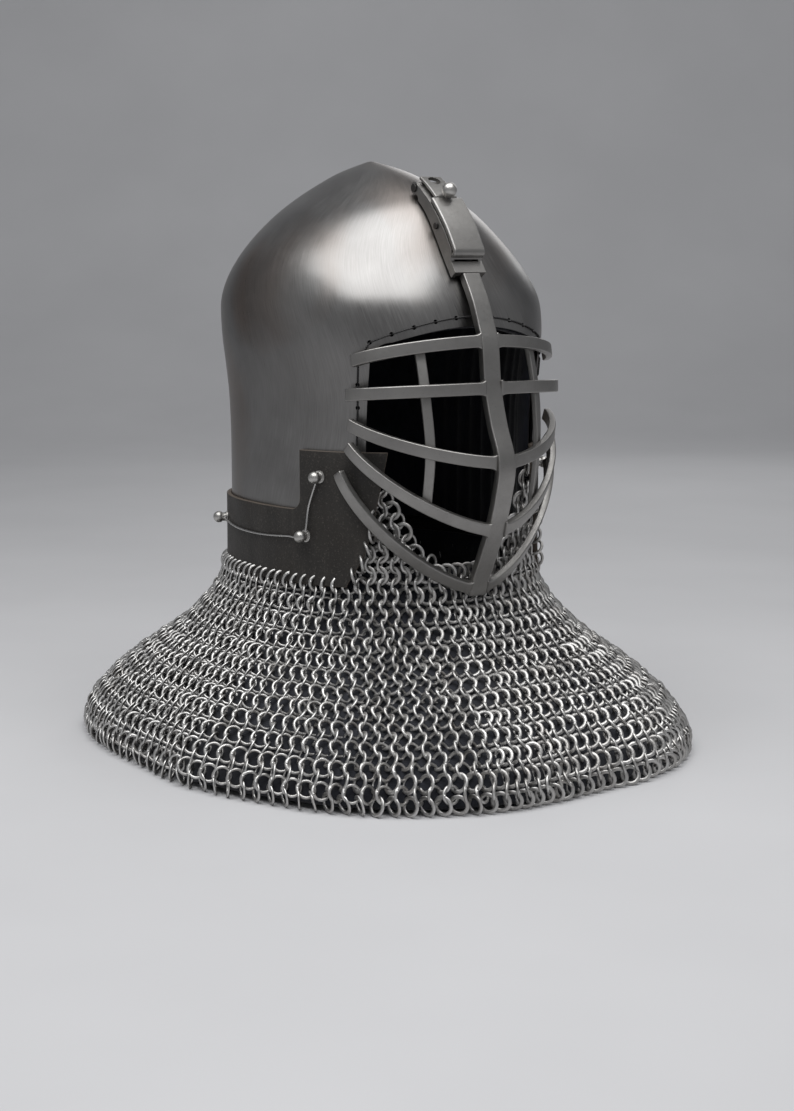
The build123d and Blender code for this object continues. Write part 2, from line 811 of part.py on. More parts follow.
def make_visor_arm():
    """Channel under the cover: two cheeks with round lobes and a web between them."""
    pin_y, pin_z = pin_centre()
    steps = 24
    start = along_share(pin_along)
    top_edge = hinge_curve(plate_thickness + weld_gap, start, 1 - 2 * lip_thickness / hinge_drop, steps)
    (end_y, end_z), (ny, nz) = hinge_point(1)
    shoulder = (end_y - ny * arm_web_step, end_z - nz * arm_web_step)
    foot = brow_line(cheek_foot_gap, pin_z - cheek_lobe_radius, arm_end_height - arm_web_thickness, steps,
                     plate_half_width - cheek_thickness)
    outline = top_edge + [shoulder, (arm_end_y, arm_end_height)] + foot[::-1]
    outline = [(pin_y, pin_z)] + outline
    body = prism_x(outline, -plate_half_width, plate_half_width)
    lobe = rod((-plate_half_width, pin_y, pin_z), (plate_half_width, pin_y, pin_z), cheek_lobe_radius)
    body = body + lobe
    inside = plate_half_width - cheek_thickness
    pocket_top = hinge_curve(plate_thickness + arm_web_thickness, start, 1, steps)
    pocket_end = [(arm_end_y + arm_web_thickness, arm_end_height - arm_web_thickness / 2),
                  (arm_end_y + arm_web_thickness, arm_end_height - overrun)]
    pocket_foot = brow_line(-skull_wall, pin_z - cheek_lobe_radius, arm_end_height - overrun, steps)
    pocket = prism_x(pocket_top[:-1] + pocket_end + pocket_foot[::-1], -inside, inside)
    body = body - pocket
    knuckle_room = rod((-inside, pin_y, pin_z), (inside, pin_y, pin_z), knuckle_radius + pin_head_height)
    body = body - knuckle_room
    body = body - rod((-plate_half_width - overrun, pin_y, pin_z), (plate_half_width + overrun, pin_y, pin_z),
                      pin_radius + pin_running_clearance)
    scallop_z = pin_z - scallop_along * 0.5
    scallop_y = front_y(inside, scallop_z)
    body = body - rod((-plate_half_width, scallop_y, scallop_z), (plate_half_width, scallop_y, scallop_z),
                      scallop_radius)
    bolt_from = (-plate_half_width - overrun, cross_bolt_y, cross_bolt_height)
    bolt_to = (plate_half_width + overrun, cross_bolt_y, cross_bolt_height)
    body = body - rod(bolt_from, bolt_to, cross_bolt_radius + shank_clearance)
    start_point, end_point = stud_line()
    return body - rod(start_point, end_point, stud_shank_radius + shank_clearance)


def base_line(distance):
    """Point on the brow under the hinge at a distance down from the pin, with its normal."""
    pin_y, pin_z = pin_centre()
    z = pin_z
    y = front_y(0, z, -base_gap)
    step = base_rivet_radius / 4
    gone = 0
    while gone < distance:
        next_z = z - step / 2
        next_y = front_y(0, next_z, -base_gap)
        gone += hypot(next_y - y, next_z - z)
        y = next_y
        z = next_z
    dy = front_y(0, z - step, -base_gap) - front_y(0, z + step, -base_gap)
    size = hypot(dy, 2 * step)
    return (y, z), (-2 * step / size, -dy / size)


def base_rivet_places():
    places = []
    for distance in base_rivet_alongs:
        (y, z), (ny, nz) = base_line(distance)
        places.append((Vector(0, y, z), Vector(0, ny, nz)))
    return places


def make_hinge_base():
    """Strap riveted to the brow, with the lug that the hinge pin runs through."""
    pin_y, pin_z = pin_centre()
    steps = 14
    rows = [base_line(base_strap_start + base_strap_length * k / steps) for k in range(steps + 1)]
    low = [p for p, n in rows]
    high = [(p[0] + n[0] * base_strap_thickness, p[1] + n[1] * base_strap_thickness) for p, n in rows]
    strap = prism_x(low + high[::-1], -base_strap_half_width, base_strap_half_width)
    half = plate_half_width - cheek_thickness - knuckle_side_gap
    lug = rod((-half, pin_y, pin_z), (half, pin_y, pin_z), knuckle_radius)
    (foot_y, foot_z), (ny, nz) = base_line(base_strap_start + knuckle_radius)
    down = (nz, -ny)
    web = prism_x(
        [low[0], (foot_y, foot_z),
         (pin_y - down[0] * knuckle_radius * 0.9, pin_z - down[1] * knuckle_radius * 0.9),
         (pin_y, pin_z)],
        -base_strap_half_width, base_strap_half_width,
    )
    base = strap + web + lug
    skull_core = skull_solid(-base_gap, skull_base_height)
    base = base - skull_core
    base = base - rod((-overrun, pin_y, pin_z), (overrun, pin_y, pin_z), pin_radius + shank_clearance)
    for place, normal in base_rivet_places():
        base = base - rod(place - normal * overrun, place + normal * overrun, base_rivet_radius)
    return base


def make_base_rivets():
    rivets = []
    shank_radius = base_rivet_radius - shank_clearance
    for place, normal in base_rivet_places():
        top = place + normal * (base_strap_thickness + base_gap)
        foot = place - normal * (base_gap + skull_wall + seat_clearance)
        rivet = rod(foot - normal * base_rivet_head_height, top, shank_radius)
        rivet = rivet + rod(top, top + normal * base_rivet_head_height, base_rivet_head_radius)
        rivet = rivet + rod(foot - normal * base_rivet_head_height, foot, base_rivet_head_radius)
        rivets.append(rivet)
    return rivets


def make_hinge_pin():
    pin_y, pin_z = pin_centre()
    reach = plate_half_width
    pin = rod((-reach, pin_y, pin_z), (reach, pin_y, pin_z), pin_radius)
    for side in (-1, 1):
        start = (side * (reach + base_gap), pin_y, pin_z)
        end = (side * (reach + base_gap + pin_head_height), pin_y, pin_z)
        pin = pin + rod((side * reach, pin_y, pin_z), end, pin_radius) + rod(start, end, pin_head_radius)
    return pin


def make_ball_stud():
    start, end = stud_line()
    normal = (end - start).normalized()
    shank = rod(start, end, stud_shank_radius)
    foot = end + normal * seat_clearance
    neck = rod(foot, end + normal * stud_rise, stud_neck_radius)
    clench = rod(start, start + normal * (pin_head_height - seat_clearance), stud_neck_radius)
    shank = shank + rod(end, foot, stud_shank_radius)
    return shank + neck + ball(end + normal * stud_rise, stud_ball_radius) + clench


def make_cross_bolt():
    reach = plate_half_width
    y = cross_bolt_y
    z = cross_bolt_height
    bolt = rod((-reach, y, z), (reach, y, z), cross_bolt_radius)
    head_plane = Plane(origin=(-reach, y, z), z_dir=(-1, 0, 0))
    head = extrude(head_plane * RegularPolygon(cross_bolt_head_radius, 6), cross_bolt_head_height)
    far = rod((reach, y, z), (reach + pin_head_height, y, z), cross_bolt_head_radius)
    return bolt + head + far


def centre_bar_profile():
    """Side view of the centre bar: outer points from the top down, and inner points."""
    outer = [(-visor_reach * a, visor_top_height - visor_drop * b) for a, b in centre_bar_shares]
    inner = []
    for k, point in enumerate(outer):
        before = outer[max(k - 1, 0)]
        after = outer[min(k + 1, len(outer) - 1)]
        dy = after[0] - before[0]
        dz = after[1] - before[1]
        size = hypot(dy, dz)
        inner.append((point[0] - dz / size * centre_bar_thickness, point[1] + dy / size * centre_bar_thickness))
    return outer, inner


def make_centre_bar():
    outer, inner = centre_bar_profile()
    half = centre_bar_half_width
    front = Edge.make_spline([Vector(-half, y, z) for y, z in outer])
    rear = Edge.make_spline([Vector(-half, y, z) for y, z in inner])
    top = Edge.make_line(rear @ 0, front @ 0)
    low = Edge.make_line(front @ 1, rear @ 1)
    bar = Solid.extrude(Face(Wire([front, low, rear, top])), Vector(2 * half, 0, 0))
    return bar


def bar_point(sizes, share):
    """Point on a bar's front line: share 0 at its end and 1 at the middle, +X side."""
    end_half, end_reach, end_height, mid_reach, mid_height, power = sizes
    angle = pi / 2 * share
    x = end_half * cos(angle) ** (2 / power) if share < 1 else 0
    run = sin(angle) ** (2 / power) if share > 0 else 0
    y = -(end_reach + (mid_reach - end_reach) * run)
    z = end_height + (mid_height - end_height) * run
    return Vector(x, y, z)


def bar_frame(sizes, tilt, share):
    """Front point, outward normal and height direction of a bar at a share of its half."""
    point = bar_point(sizes, share)
    after = bar_point(sizes, min(share + bar_slope_share, 1))
    before = bar_point(sizes, max(share - bar_slope_share, 0))
    tangent = (after - before).normalized()
    angle = pi / 2 * share
    lean = radians(tilt)
    out = Vector(cos(angle), -sin(angle) * cos(lean), -sin(angle) * sin(lean))
    out = (out - tangent * out.dot(tangent)).normalized()
    return point, out, tangent.cross(out)


def make_bar(sizes, tilt):
    """Two mirrored halves of one cross bar, each butting on the centre bar."""
    rings = []
    for k in range(bar_stations + 1):
        share = k / bar_stations
        point, out, high = bar_frame(sizes, tilt, share)
        inner = point - out * bar_thickness
        rise = high * (bar_height / 2)
        rings.append(Wire.make_polygon([point + rise, point - rise, inner - rise, inner + rise]))
    half = Solid.make_loft(rings)
    side = visor_reach + overrun
    keep = Pos(centre_bar_half_width, 0, 0) * Box(side, 2 * side, 4 * side,
                                                  align=(Align.MIN, Align.CENTER, Align.CENTER))
    half = half & keep
    return [half, mirror(half, about=Plane.YZ)]


def inner_bar_frames():
    """Places and outward directions on the rear faces of the upper four bars, where the inner bar is welded."""
    frames = []
    for sizes, tilt in list(zip(all_bars(), bar_tilts))[:inner_bar_crossings]:
        low = 0
        high = 1
        for turn in range(inner_bar_halvings):
            share = (low + high) / 2
            if bar_point(sizes, share).X > inner_bar_half_width:
                low = share
            else:
                high = share
        point, out, rise = bar_frame(sizes, tilt, low)
        frames.append((point - out * (bar_thickness + inner_bar_gap), Vector(out.X, out.Y, 0).normalized()))
    return frames


def all_bars():
    return (bar_1_sizes, bar_2_sizes, bar_3_sizes, bar_4_sizes, bar_5_sizes)


def make_inner_bar(side):
    """Flat upright strap behind the bars, made on the +X side and mirrored for the other."""
    frames = inner_bar_frames()
    points = [point for point, out in frames]
    points.insert(0, points[0] + (points[0] - points[1]).normalized() * inner_bar_overrun)
    points.append(points[-1] + (points[-1] - points[-2]).normalized() * inner_bar_overrun)
    outs = [out for point, out in frames]
    outs = [outs[0]] + outs + [outs[-1]]
    path = Edge.make_spline(points)
    rings = []
    for k in range(inner_bar_stations + 1):
        share = k / inner_bar_stations
        place = share * (len(outs) - 1)
        before = min(int(place), len(outs) - 2)
        out = outs[before] + (outs[before + 1] - outs[before]) * (place - before)
        along = path % share
        out = (out - along * out.dot(along)).normalized()
        across = along.cross(out) * (inner_bar_width / 2)
        face = path @ share
        back = face - out * inner_bar_thickness
        rings.append(Wire.make_polygon([face + across, face - across, back - across, back + across]))
    strap = Solid.make_loft(rings)
    return strap if side > 0 else mirror(strap, about=Plane.YZ)


def node(name, shape):
    """Write one named piece, or a group of like pieces, as its own file."""
    if isinstance(shape, (list, tuple)):
        shape = Compound(children=[s if isinstance(s, Solid) else s.solids()[0] for s in shape])
    shape.label = name
    export_step(shape, os.path.join("parts", name + ".step"))


if __name__ == "__main__":
    node("skull", make_skull())
    node("liner", make_liner())
    node("leather_band", make_leather())
    node("vervelles", make_vervelles())
    node("retaining_wire", make_wire())
    node("lacing_thread", make_thread())
    node("mail_aventail", make_mail())
    node("mail_lining", make_lining())
    node("cover_plate", make_cover_plate())
    node("visor_arm", make_visor_arm())
    node("hinge_base", make_hinge_base())
    node("hinge_base_rivets", make_base_rivets())
    node("hinge_pin", make_hinge_pin())
    node("ball_stud", make_ball_stud())
    node("cross_bolt", make_cross_bolt())
    node("centre_bar", make_centre_bar())
    for number, (sizes, tilt) in enumerate(zip(all_bars(), bar_tilts), start=1):
        node("cross_bar_" + str(number), make_bar(sizes, tilt))
    node("inner_bar_right", make_inner_bar(-1))
    node("inner_bar_left", make_inner_bar(1))
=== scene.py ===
import bpy
import bmesh
import math
import numpy as np
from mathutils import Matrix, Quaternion, Vector


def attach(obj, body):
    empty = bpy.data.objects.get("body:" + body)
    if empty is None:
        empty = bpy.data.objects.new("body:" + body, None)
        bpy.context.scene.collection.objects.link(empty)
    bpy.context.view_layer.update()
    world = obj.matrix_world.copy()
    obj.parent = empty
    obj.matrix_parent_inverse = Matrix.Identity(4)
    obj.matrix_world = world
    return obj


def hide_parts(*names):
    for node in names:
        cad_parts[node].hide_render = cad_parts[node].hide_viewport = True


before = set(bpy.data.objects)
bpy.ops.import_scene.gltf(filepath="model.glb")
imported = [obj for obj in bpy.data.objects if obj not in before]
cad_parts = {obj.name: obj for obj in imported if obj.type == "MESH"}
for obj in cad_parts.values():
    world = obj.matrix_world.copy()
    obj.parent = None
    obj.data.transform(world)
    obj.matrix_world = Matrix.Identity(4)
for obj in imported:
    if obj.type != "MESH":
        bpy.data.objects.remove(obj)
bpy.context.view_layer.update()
MM = 0.001
rng = np.random.default_rng(11)

# Driving dimensions in millimetres; the stitch holes and the leather's step are a little wider than the CAD's
skull_base, skull_top, skull_wall = 148.0, 422.3, 2.0
skull_half, skull_front, skull_back = 109.0, 120.5, 124.0
opening_half, opening_shoulder, opening_top, opening_radius = 71.5, 297.0, 307.3, 12.0
lacing_half, lacing_top, lacing_drop, lacing_hole, thread_radius = 77.2, 313.8, 91.8, 1.6, 0.6
leather_foot, leather_top, cheek_top, leather_seat, leather_out = 128.0, 180.0, 222.0, 0.35, 3.3
step_y, step_radius, cheek_edge, cheek_sweep = -49.5, 8.0, 61.5, 22.0
stud_rows = [(-64.3, 204.0), (-53.5, 162.0), (66.0, 162.0)]
ball_radius, ball_height, eye_height, eye_radius, wire_radius, wire_sag = 4.3, 6.3, 3.2, 1.4, 0.75, 3.5
bar_height, bar_thick, bar_round, bar_weld = 8.6, 5.0, 0.9, 2.6
centre_width, centre_thick, centre_reach, centre_top, centre_drop = 14.0, 6.0, 158.0, 343.8, 224.0
inner_width, inner_thick, inner_half, inner_behind, inner_past = 7.0, 4.0, 49.5, 5.6, 4.0
hinge_y, hinge_top, hinge_reach, hinge_drop = -64.0, 410.3, 50.9, 54.5
tongue_length, tongue_width, tongue_thick, tongue_eye, eye_along = 24.5, 18.0, 2.4, 4.5, 6.0
cover_width, cover_thick, curl_radius, lip_length = 26.0, 3.3, 4.0, 2.6
tongue_round, cover_round = 0.8, 1.2
mail_height, mail_flare, hem_height, front_tuck = 127.6, 117.0, 6.3, 6.5
hem_half_width, hem_half_depth = 208.0, 240.0
ring_radius, ring_wire, flat_half, flat_face, flat_thick = 5.8, 1.12, 1.4, 1.1, 0.68
neck_pitch, hem_gain, neck_rings, row_count, first_run = 8.25, 2.2, 87, 24, -1.0

# Camera, at the photograph's angle, in metres
film_width, focal_share = 36.0, 2004.0 / 1111.0
azimuth, tilt = math.radians(-33.5), math.radians(8.5)
aim_height, aim_shift, camera_reach = 0.1332, 0.012, 1.5

scene = bpy.context.scene
scene.view_settings.view_transform = "Standard"
camera_data = bpy.data.cameras.new("camera")
camera_data.sensor_width = film_width
camera_data.lens = focal_share * film_width
camera = bpy.data.objects.new("camera", camera_data)
scene.collection.objects.link(camera)
toward = Vector((math.sin(azimuth) * math.cos(tilt), -math.cos(azimuth) * math.cos(tilt), math.sin(tilt)))
right = Vector((math.cos(azimuth), math.sin(azimuth), 0))
camera.location = Vector((0, 0, aim_height)) + right * aim_shift + toward * camera_reach
camera.rotation_mode = "QUATERNION"
camera.rotation_quaternion = (-toward).to_track_quat("-Z", "Y")
scene.camera = camera


def mesh_object(name, verts, faces, soft=True):
    """Mesh object from points in millimetres and faces, an array of quads or a list of any faces."""
    mesh = bpy.data.meshes.new(name)
    verts = np.asarray(verts, float) * MM
    if isinstance(faces, np.ndarray):
        count, corners = faces.shape
        mesh.vertices.add(len(verts))
        mesh.vertices.foreach_set("co", verts.astype(np.float32).ravel())
        mesh.loops.add(count * corners)
        mesh.loops.foreach_set("vertex_index", faces.astype(np.int32).ravel())
        mesh.polygons.add(count)
        mesh.polygons.foreach_set("loop_start", np.arange(0, count * corners, corners, dtype=np.int32))
        mesh.update(calc_edges=True)
        mesh.validate()
    else:
        mesh.from_pydata(verts.tolist(), [], [list(map(int, f)) for f in faces])
        mesh.update()
    mesh.polygons.foreach_set("use_smooth", np.full(len(mesh.polygons), soft))
    obj = bpy.data.objects.new(name, mesh)
    scene.collection.objects.link(obj)
    return obj


def smooth(obj):
    """Round shading on every face."""
    obj.data.polygons.foreach_set("use_smooth", np.ones(len(obj.data.polygons), bool))


def area_light(name, place, aim, width, height, power, roll):
    """Soft rectangular light, turned toward its aim and rolled about that line."""
    data = bpy.data.lights.new(name, "AREA")
    data.shape = "RECTANGLE"
    data.size = width
    data.size_y = height
    data.energy = power
    lamp = bpy.data.objects.new(name, data)
    lamp.location = place
    lamp.rotation_mode = "QUATERNION"
    facing = (Vector(aim) - Vector(place)).to_track_quat("-Z", "Y")
    lamp.rotation_quaternion = facing @ Quaternion((0, 0, 1), math.radians(roll))
    scene.collection.objects.link(lamp)


# Lights: name, place, aim, width, height, power and roll in degrees
lights = [
    ("top_softbox", (-0.42, -0.50, 1.75), (-0.42, -0.49, 0.35), 2.0, 1.75, 40, -24.0),
    ("rear_softbox", (1.5, 1.3, 1.1), (0, 0, 0.2), 0.9, 0.9, 4, 0.0),
    ("backdrop_wash", (1.0, 1.6, 2.6), (2.1, 3.4, 1.5), 2.4, 1.2, 14, 0.0),
]
for light in lights:
    area_light(*light)

world = bpy.data.worlds.new("studio")
scene.world = world
world.use_nodes = True
surround = world.node_tree.nodes["Background"]
surround.inputs["Color"].default_value = (0.60, 0.61, 0.63, 1)
surround.inputs["Strength"].default_value = 0.50

# Node helpers


def feed(tree, target, inputs):
    """Link or set each named input of a node."""
    for name, value in inputs.items():
        socket = target.inputs[name]
        if isinstance(value, bpy.types.NodeSocket):
            tree.links.new(value, socket)
        elif socket.type == "RGBA":
            socket.default_value = (*value, 1)
        else:
            socket.default_value = value


def add_node(tree, kind, output, inputs, **settings):
    """A node with its settings and inputs; gives the output asked for."""
    made = tree.nodes.new(kind)
    for name, value in settings.items():
        setattr(made, name, value)
    feed(tree, made, inputs)
    return made.outputs[output]


def material(name):
    mat = bpy.data.materials.new(name)
    mat.use_nodes = True
    tree = mat.node_tree
    tree.nodes.clear()
    output = tree.nodes.new("ShaderNodeOutputMaterial")
    shader = tree.nodes.new("ShaderNodeBsdfPrincipled")
    tree.links.new(shader.outputs["BSDF"], output.inputs["Surface"])
    return mat, tree, shader


def object_coords(tree, scale=(1, 1, 1)):
    coords = add_node(tree, "ShaderNodeTexCoord", "Object", {})
    return add_node(tree, "ShaderNodeMapping", "Vector", {"Vector": coords, "Scale": scale})


def attribute(tree, name, output):
    return add_node(tree, "ShaderNodeAttribute", output, {}, attribute_name=name)


def noise(tree, vector, scale, detail=3.0, rough=0.55, distortion=0.0):
    inputs = {"Vector": vector, "Scale": scale, "Detail": detail, "Roughness": rough}
    inputs["Distortion"] = distortion
    return add_node(tree, "ShaderNodeTexNoise", "Fac", inputs)


def voronoi(tree, vector, scale, feature="F1"):
    inputs = {"Vector": vector, "Scale": scale}
    return add_node(tree, "ShaderNodeTexVoronoi", "Distance", inputs, feature=feature)


def wave(tree, vector, scale, direction, distortion=0.0, detail_scale=1.0):
    inputs = {"Vector": vector, "Scale": scale, "Distortion": distortion, "Detail Scale": detail_scale}
    return add_node(tree, "ShaderNodeTexWave", "Fac", inputs, wave_type="BANDS", bands_direction=direction)


def ramp(tree, value, stops):
    node = tree.nodes.new("ShaderNodeValToRGB")
    cells = node.color_ramp.elements
    while len(cells) > 1:
        cells.remove(cells[-1])
    cells[0].position, cells[0].color = stops[0][0], (*stops[0][1], 1)
    for place, colour in stops[1:]:
        cell = cells.new(place)
        cell.color = (*colour, 1)
    tree.links.new(value, node.inputs["Fac"])
    return node.outputs["Color"]


def spread(tree, value, low, high, low_out, high_out):
    inputs = {"Value": value, "From Min": low, "From Max": high, "To Min": low_out, "To Max": high_out}
    return add_node(tree, "ShaderNodeMapRange", "Result", inputs)


def mix(tree, share, one, two, blend="MIX"):
    """Colour mix; the numbers are the colour sockets of the node."""
    return add_node(tree, "ShaderNodeMix", 2, {0: share, 6: one, 7: two}, data_type="RGBA", blend_type=blend)


def maths(tree, kind, one, two):
    return add_node(tree, "ShaderNodeMath", "Value", {0: one, 1: two}, operation=kind)


def bump(tree, height, strength, distance, normal=None):
    inputs = {"Height": height, "Strength": strength, "Distance": distance}
    if normal is not None:
        inputs["Normal"] = normal
    return add_node(tree, "ShaderNodeBump", "Normal", inputs)


def brushed_skull_steel():
    """Hand-brushed plate: fine streaks that run up the dome, soft clouding and faint brown patches that paint
    in a brownish reflection.
    """
    mat, tree, shader = material("brushed_skull_steel")
    streak_space = attribute(tree, "brush", "Vector")
    fine = noise(tree, streak_space, 1.6, 4, 0.65)
    broad = noise(tree, streak_space, 0.22, 3, 0.5)
    space = object_coords(tree)
    cloud = noise(tree, space, 9, 4, 0.55, 0.4)
    painted_reflection_tint = noise(tree, space, 4.2, 3, 0.5, 0.8)
    base = ramp(tree, cloud, [(0.30, (0.175, 0.17, 0.165)),
                              (0.52, (0.235, 0.23, 0.225)), (0.75, (0.30, 0.296, 0.29))])
    # painted reflection: brown patches stand in for the brownish light the steel reflects
    base = mix(tree, spread(tree, painted_reflection_tint, 0.44, 0.60, 0.0, 0.80), base, (0.205, 0.165, 0.14))
    base = mix(tree, 1.0, base, spread(tree, fine, 0.30, 0.70, 0.84, 1.12), "MULTIPLY")
    rough = maths(tree, "ADD", spread(tree, fine, 0.3, 0.7, 0.27, 0.39),
                  spread(tree, cloud, 0.3, 0.7, -0.03, 0.05))
    normal = bump(tree, broad, 0.10, 0.00025, bump(tree, fine, 0.30, 0.00006))
    feed(tree, shader, {"Base Color": base, "Roughness": rough, "Metallic": 1.0, "Normal": normal})
    return mat


def forged_steel(name, dark, light, rough, grain=650.0, pits=0.5):
    """Satin bar stock: fine sanded grain, slight file marks, small pits and clouded colour."""
    mat, tree, shader = material(name)
    space = object_coords(tree)
    cloud = noise(tree, space, 28, 4, 0.6, 0.3)
    fine = noise(tree, space, grain, 4, 0.6)
    uneven = noise(tree, space, 95, 3, 0.5)
    pit = voronoi(tree, space, 320)
    base = ramp(tree, cloud, [(0.28, dark), (0.72, light)])
    base = mix(tree, spread(tree, pit, 0.05, 0.22, 0.35 * pits, 0.0), base, (0.10, 0.085, 0.075))
    rough = maths(tree, "ADD", spread(tree, fine, 0.3, 0.7, rough - 0.06, rough + 0.08),
                  spread(tree, cloud, 0.3, 0.7, 0.04, -0.04))
    normal = bump(tree, uneven, 0.22, 0.0006, bump(tree, fine, 0.22, 0.00012))
    feed(tree, shader, {"Base Color": base, "Roughness": rough, "Metallic": 1.0, "Normal": normal})
    return mat


def mail_steel():
    """Dark oiled rings: each ring its own tone, brown in patches, and lighter on their rims and outward
    faces, partly from wear and partly as painted highlight, with the inward faces left dark as painted shade.
    """
    mat, tree, shader = material("mail_steel")
    tone = attribute(tree, "tone", "Fac")
    rub_and_highlight = attribute(tree, "rub_and_highlight", "Fac")
    space = object_coords(tree)
    cloud = noise(tree, space, 60, 3, 0.5)
    fine = noise(tree, space, 900, 3, 0.6)
    base = ramp(tree, tone, [(0.0, (0.21, 0.204, 0.196)), (0.5, (0.33, 0.323, 0.312)),
                             (1.0, (0.50, 0.492, 0.48))])
    base = mix(tree, spread(tree, cloud, 0.45, 0.75, 0.0, 0.6), base, (0.15, 0.12, 0.10))
    # painted highlight and wear: the rub marks mix this pale colour into rims, outward faces and rivet heads
    base = mix(tree, spread(tree, rub_and_highlight, 0.0, 1.0, 0.0, 0.65), base, (0.80, 0.795, 0.78))
    rough = maths(tree, "ADD", spread(tree, fine, 0.3, 0.7, 0.40, 0.52), spread(tree, rub_and_highlight, 0, 1, 0.04, -0.08))
    normal = bump(tree, fine, 0.25, 0.00012)
    feed(tree, shader, {"Base Color": base, "Roughness": rough, "Metallic": 1.0, "Normal": normal})
    return mat


def band_leather():
    """Thick oiled hide, near black, with a lighter cut edge, fine grain, flecks and rubbed streaks."""
    mat, tree, shader = material("band_leather")
    raw = attribute(tree, "raw", "Fac")
    space = object_coords(tree)
    streaks = noise(tree, object_coords(tree, (60, 60, 9)), 1.0, 4, 0.6, 0.6)
    cloud = noise(tree, space, 22, 4, 0.6, 0.5)
    pores = voronoi(tree, space, 900, "SMOOTH_F1")
    creases = voronoi(tree, space, 330, "DISTANCE_TO_EDGE")
    fibre = noise(tree, space, 1500, 3, 0.7)
    base = ramp(tree, streaks, [(0.25, (0.016, 0.0145, 0.013)), (0.55, (0.027, 0.0245, 0.022)),
                                (0.85, (0.046, 0.042, 0.037))])
    base = mix(tree, spread(tree, cloud, 0.4, 0.75, 0.0, 0.6), base, (0.028, 0.024, 0.020))
    flecks = spread(tree, noise(tree, space, 700, 4, 0.7), 0.56, 0.70, 0.0, 0.55)
    base = mix(tree, flecks, base, (0.12, 0.108, 0.094))
    cut_edge = maths(tree, "MULTIPLY", raw, spread(tree, fibre, 0.3, 0.7, 0.6, 0.9))
    base = mix(tree, cut_edge, base, (0.13, 0.105, 0.085))
    normal = bump(tree, pores, 0.55, 0.0003)
    normal = bump(tree, spread(tree, creases, 0.0, 0.12, 0.0, 1.0), 0.25, 0.00018, normal)
    normal = bump(tree, fibre, 0.15, 0.0001, normal)
    feed(tree, shader, {"Base Color": base, "Roughness": spread(tree, cloud, 0.3, 0.7, 0.50, 0.66),
                        "Specular IOR Level": 0.35, "Normal": normal})
    return mat


def dark_cloth(name, dark, light, threads):
    """Close plain weave with slubs and soft fading."""
    mat, tree, shader = material(name)
    space = object_coords(tree)
    across = wave(tree, space, threads, "Z", 1.5, 2.5)
    down = wave(tree, object_coords(tree, (1, 1, 0.05)), threads, "DIAGONAL", 1.5, 2.5)
    weave = maths(tree, "MAXIMUM", across, down)
    cloud = noise(tree, space, 30, 4, 0.6)
    slub = noise(tree, space, 420, 3, 0.6)
    base = ramp(tree, cloud, [(0.3, dark), (0.75, light)])
    base = mix(tree, 1.0, base, spread(tree, weave, 0.0, 1.0, 0.65, 1.1), "MULTIPLY")
    normal = bump(tree, slub, 0.25, 0.0002, bump(tree, weave, 0.35, 0.0002))
    feed(tree, shader, {"Base Color": base, "Roughness": 0.88, "Sheen Weight": 0.25, "Sheen Roughness": 0.5,
                        "Specular IOR Level": 0.25, "Normal": normal})
    return mat


def waxed_thread():
    """Twisted dark thread."""
    mat, tree, shader = material("waxed_thread")
    twist = wave(tree, object_coords(tree), 480, "DIAGONAL")
    base = mix(tree, spread(tree, twist, 0, 1, 0, 1), (0.008, 0.008, 0.009), (0.028, 0.026, 0.026))
    feed(tree, shader, {"Base Color": base, "Roughness": 0.6, "Normal": bump(tree, twist, 0.6, 0.0003)})
    return mat


def pale_floor():
    mat, tree, shader = material("pale_floor")
    cloud = noise(tree, object_coords(tree), 3, 3)
    base = ramp(tree, cloud, [(0.3, (0.50, 0.50, 0.51)), (0.7, (0.53, 0.53, 0.54))])
    feed(tree, shader, {"Base Color": base, "Roughness": 0.85})
    return mat


skull_steel = brushed_skull_steel()
visor_steel = forged_steel("visor_steel", (0.235, 0.228, 0.22), (0.32, 0.312, 0.30), 0.40)
stud_steel = forged_steel("stud_steel", (0.40, 0.39, 0.375), (0.54, 0.53, 0.51), 0.37, 900, 0.4)
bolt_steel = forged_steel("bolt_steel", (0.06, 0.058, 0.058), (0.11, 0.105, 0.10), 0.42)
wire_steel = forged_steel("wire_steel", (0.42, 0.41, 0.40), (0.55, 0.54, 0.53), 0.25, 900, 0.2)
rings_steel = mail_steel()
leather = band_leather()
quilting = dark_cloth("quilting", (0.008, 0.0085, 0.012), (0.020, 0.022, 0.032), 330)
# near-black bluish cloth under the mail, partly a backing and partly painted shade between the rings
lining_cloth = dark_cloth("lining_cloth", (0.010, 0.011, 0.015), (0.022, 0.024, 0.032), 300)
thread_black = waxed_thread()


def dress(obj, mat, body, slot, *nodes):
    obj.data.materials.clear()
    obj.data.materials.append(mat)
    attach(obj, body)
    if nodes:
        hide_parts(*nodes)
    return obj


# floor that rises behind as a backdrop, in metres
floor_front, floor_back, floor_half, rise_radius, rise_top, rise_steps = -9.0, 2.2, 8.0, 1.6, 7.0, 12
back_rise = [(floor_front, 0.0), (floor_back, 0.0)]
for k in range(1, rise_steps + 1):
    turn = math.pi / 2 * k / rise_steps
    back_rise.append((floor_back + rise_radius * math.sin(turn), rise_radius - rise_radius * math.cos(turn)))
back_rise.append((floor_back + rise_radius, rise_top))
along, across = Vector((-toward.x, -toward.y, 0)).normalized(), right
floor_verts = []
for run, rise in back_rise:
    for side in (-floor_half, floor_half):
        place = along * run + across * side
        floor_verts.append((place.x / MM, place.y / MM, rise / MM))
floor_faces = [(2 * k, 2 * k + 1, 2 * k + 3, 2 * k + 2) for k in range(len(back_rise) - 1)]
floor = mesh_object("floor", floor_verts, floor_faces)
floor.data.materials.append(pale_floor())

# Shared curves


def unit(vectors):
    """Vectors brought to length one."""
    return vectors / np.linalg.norm(vectors, axis=-1, keepdims=True)


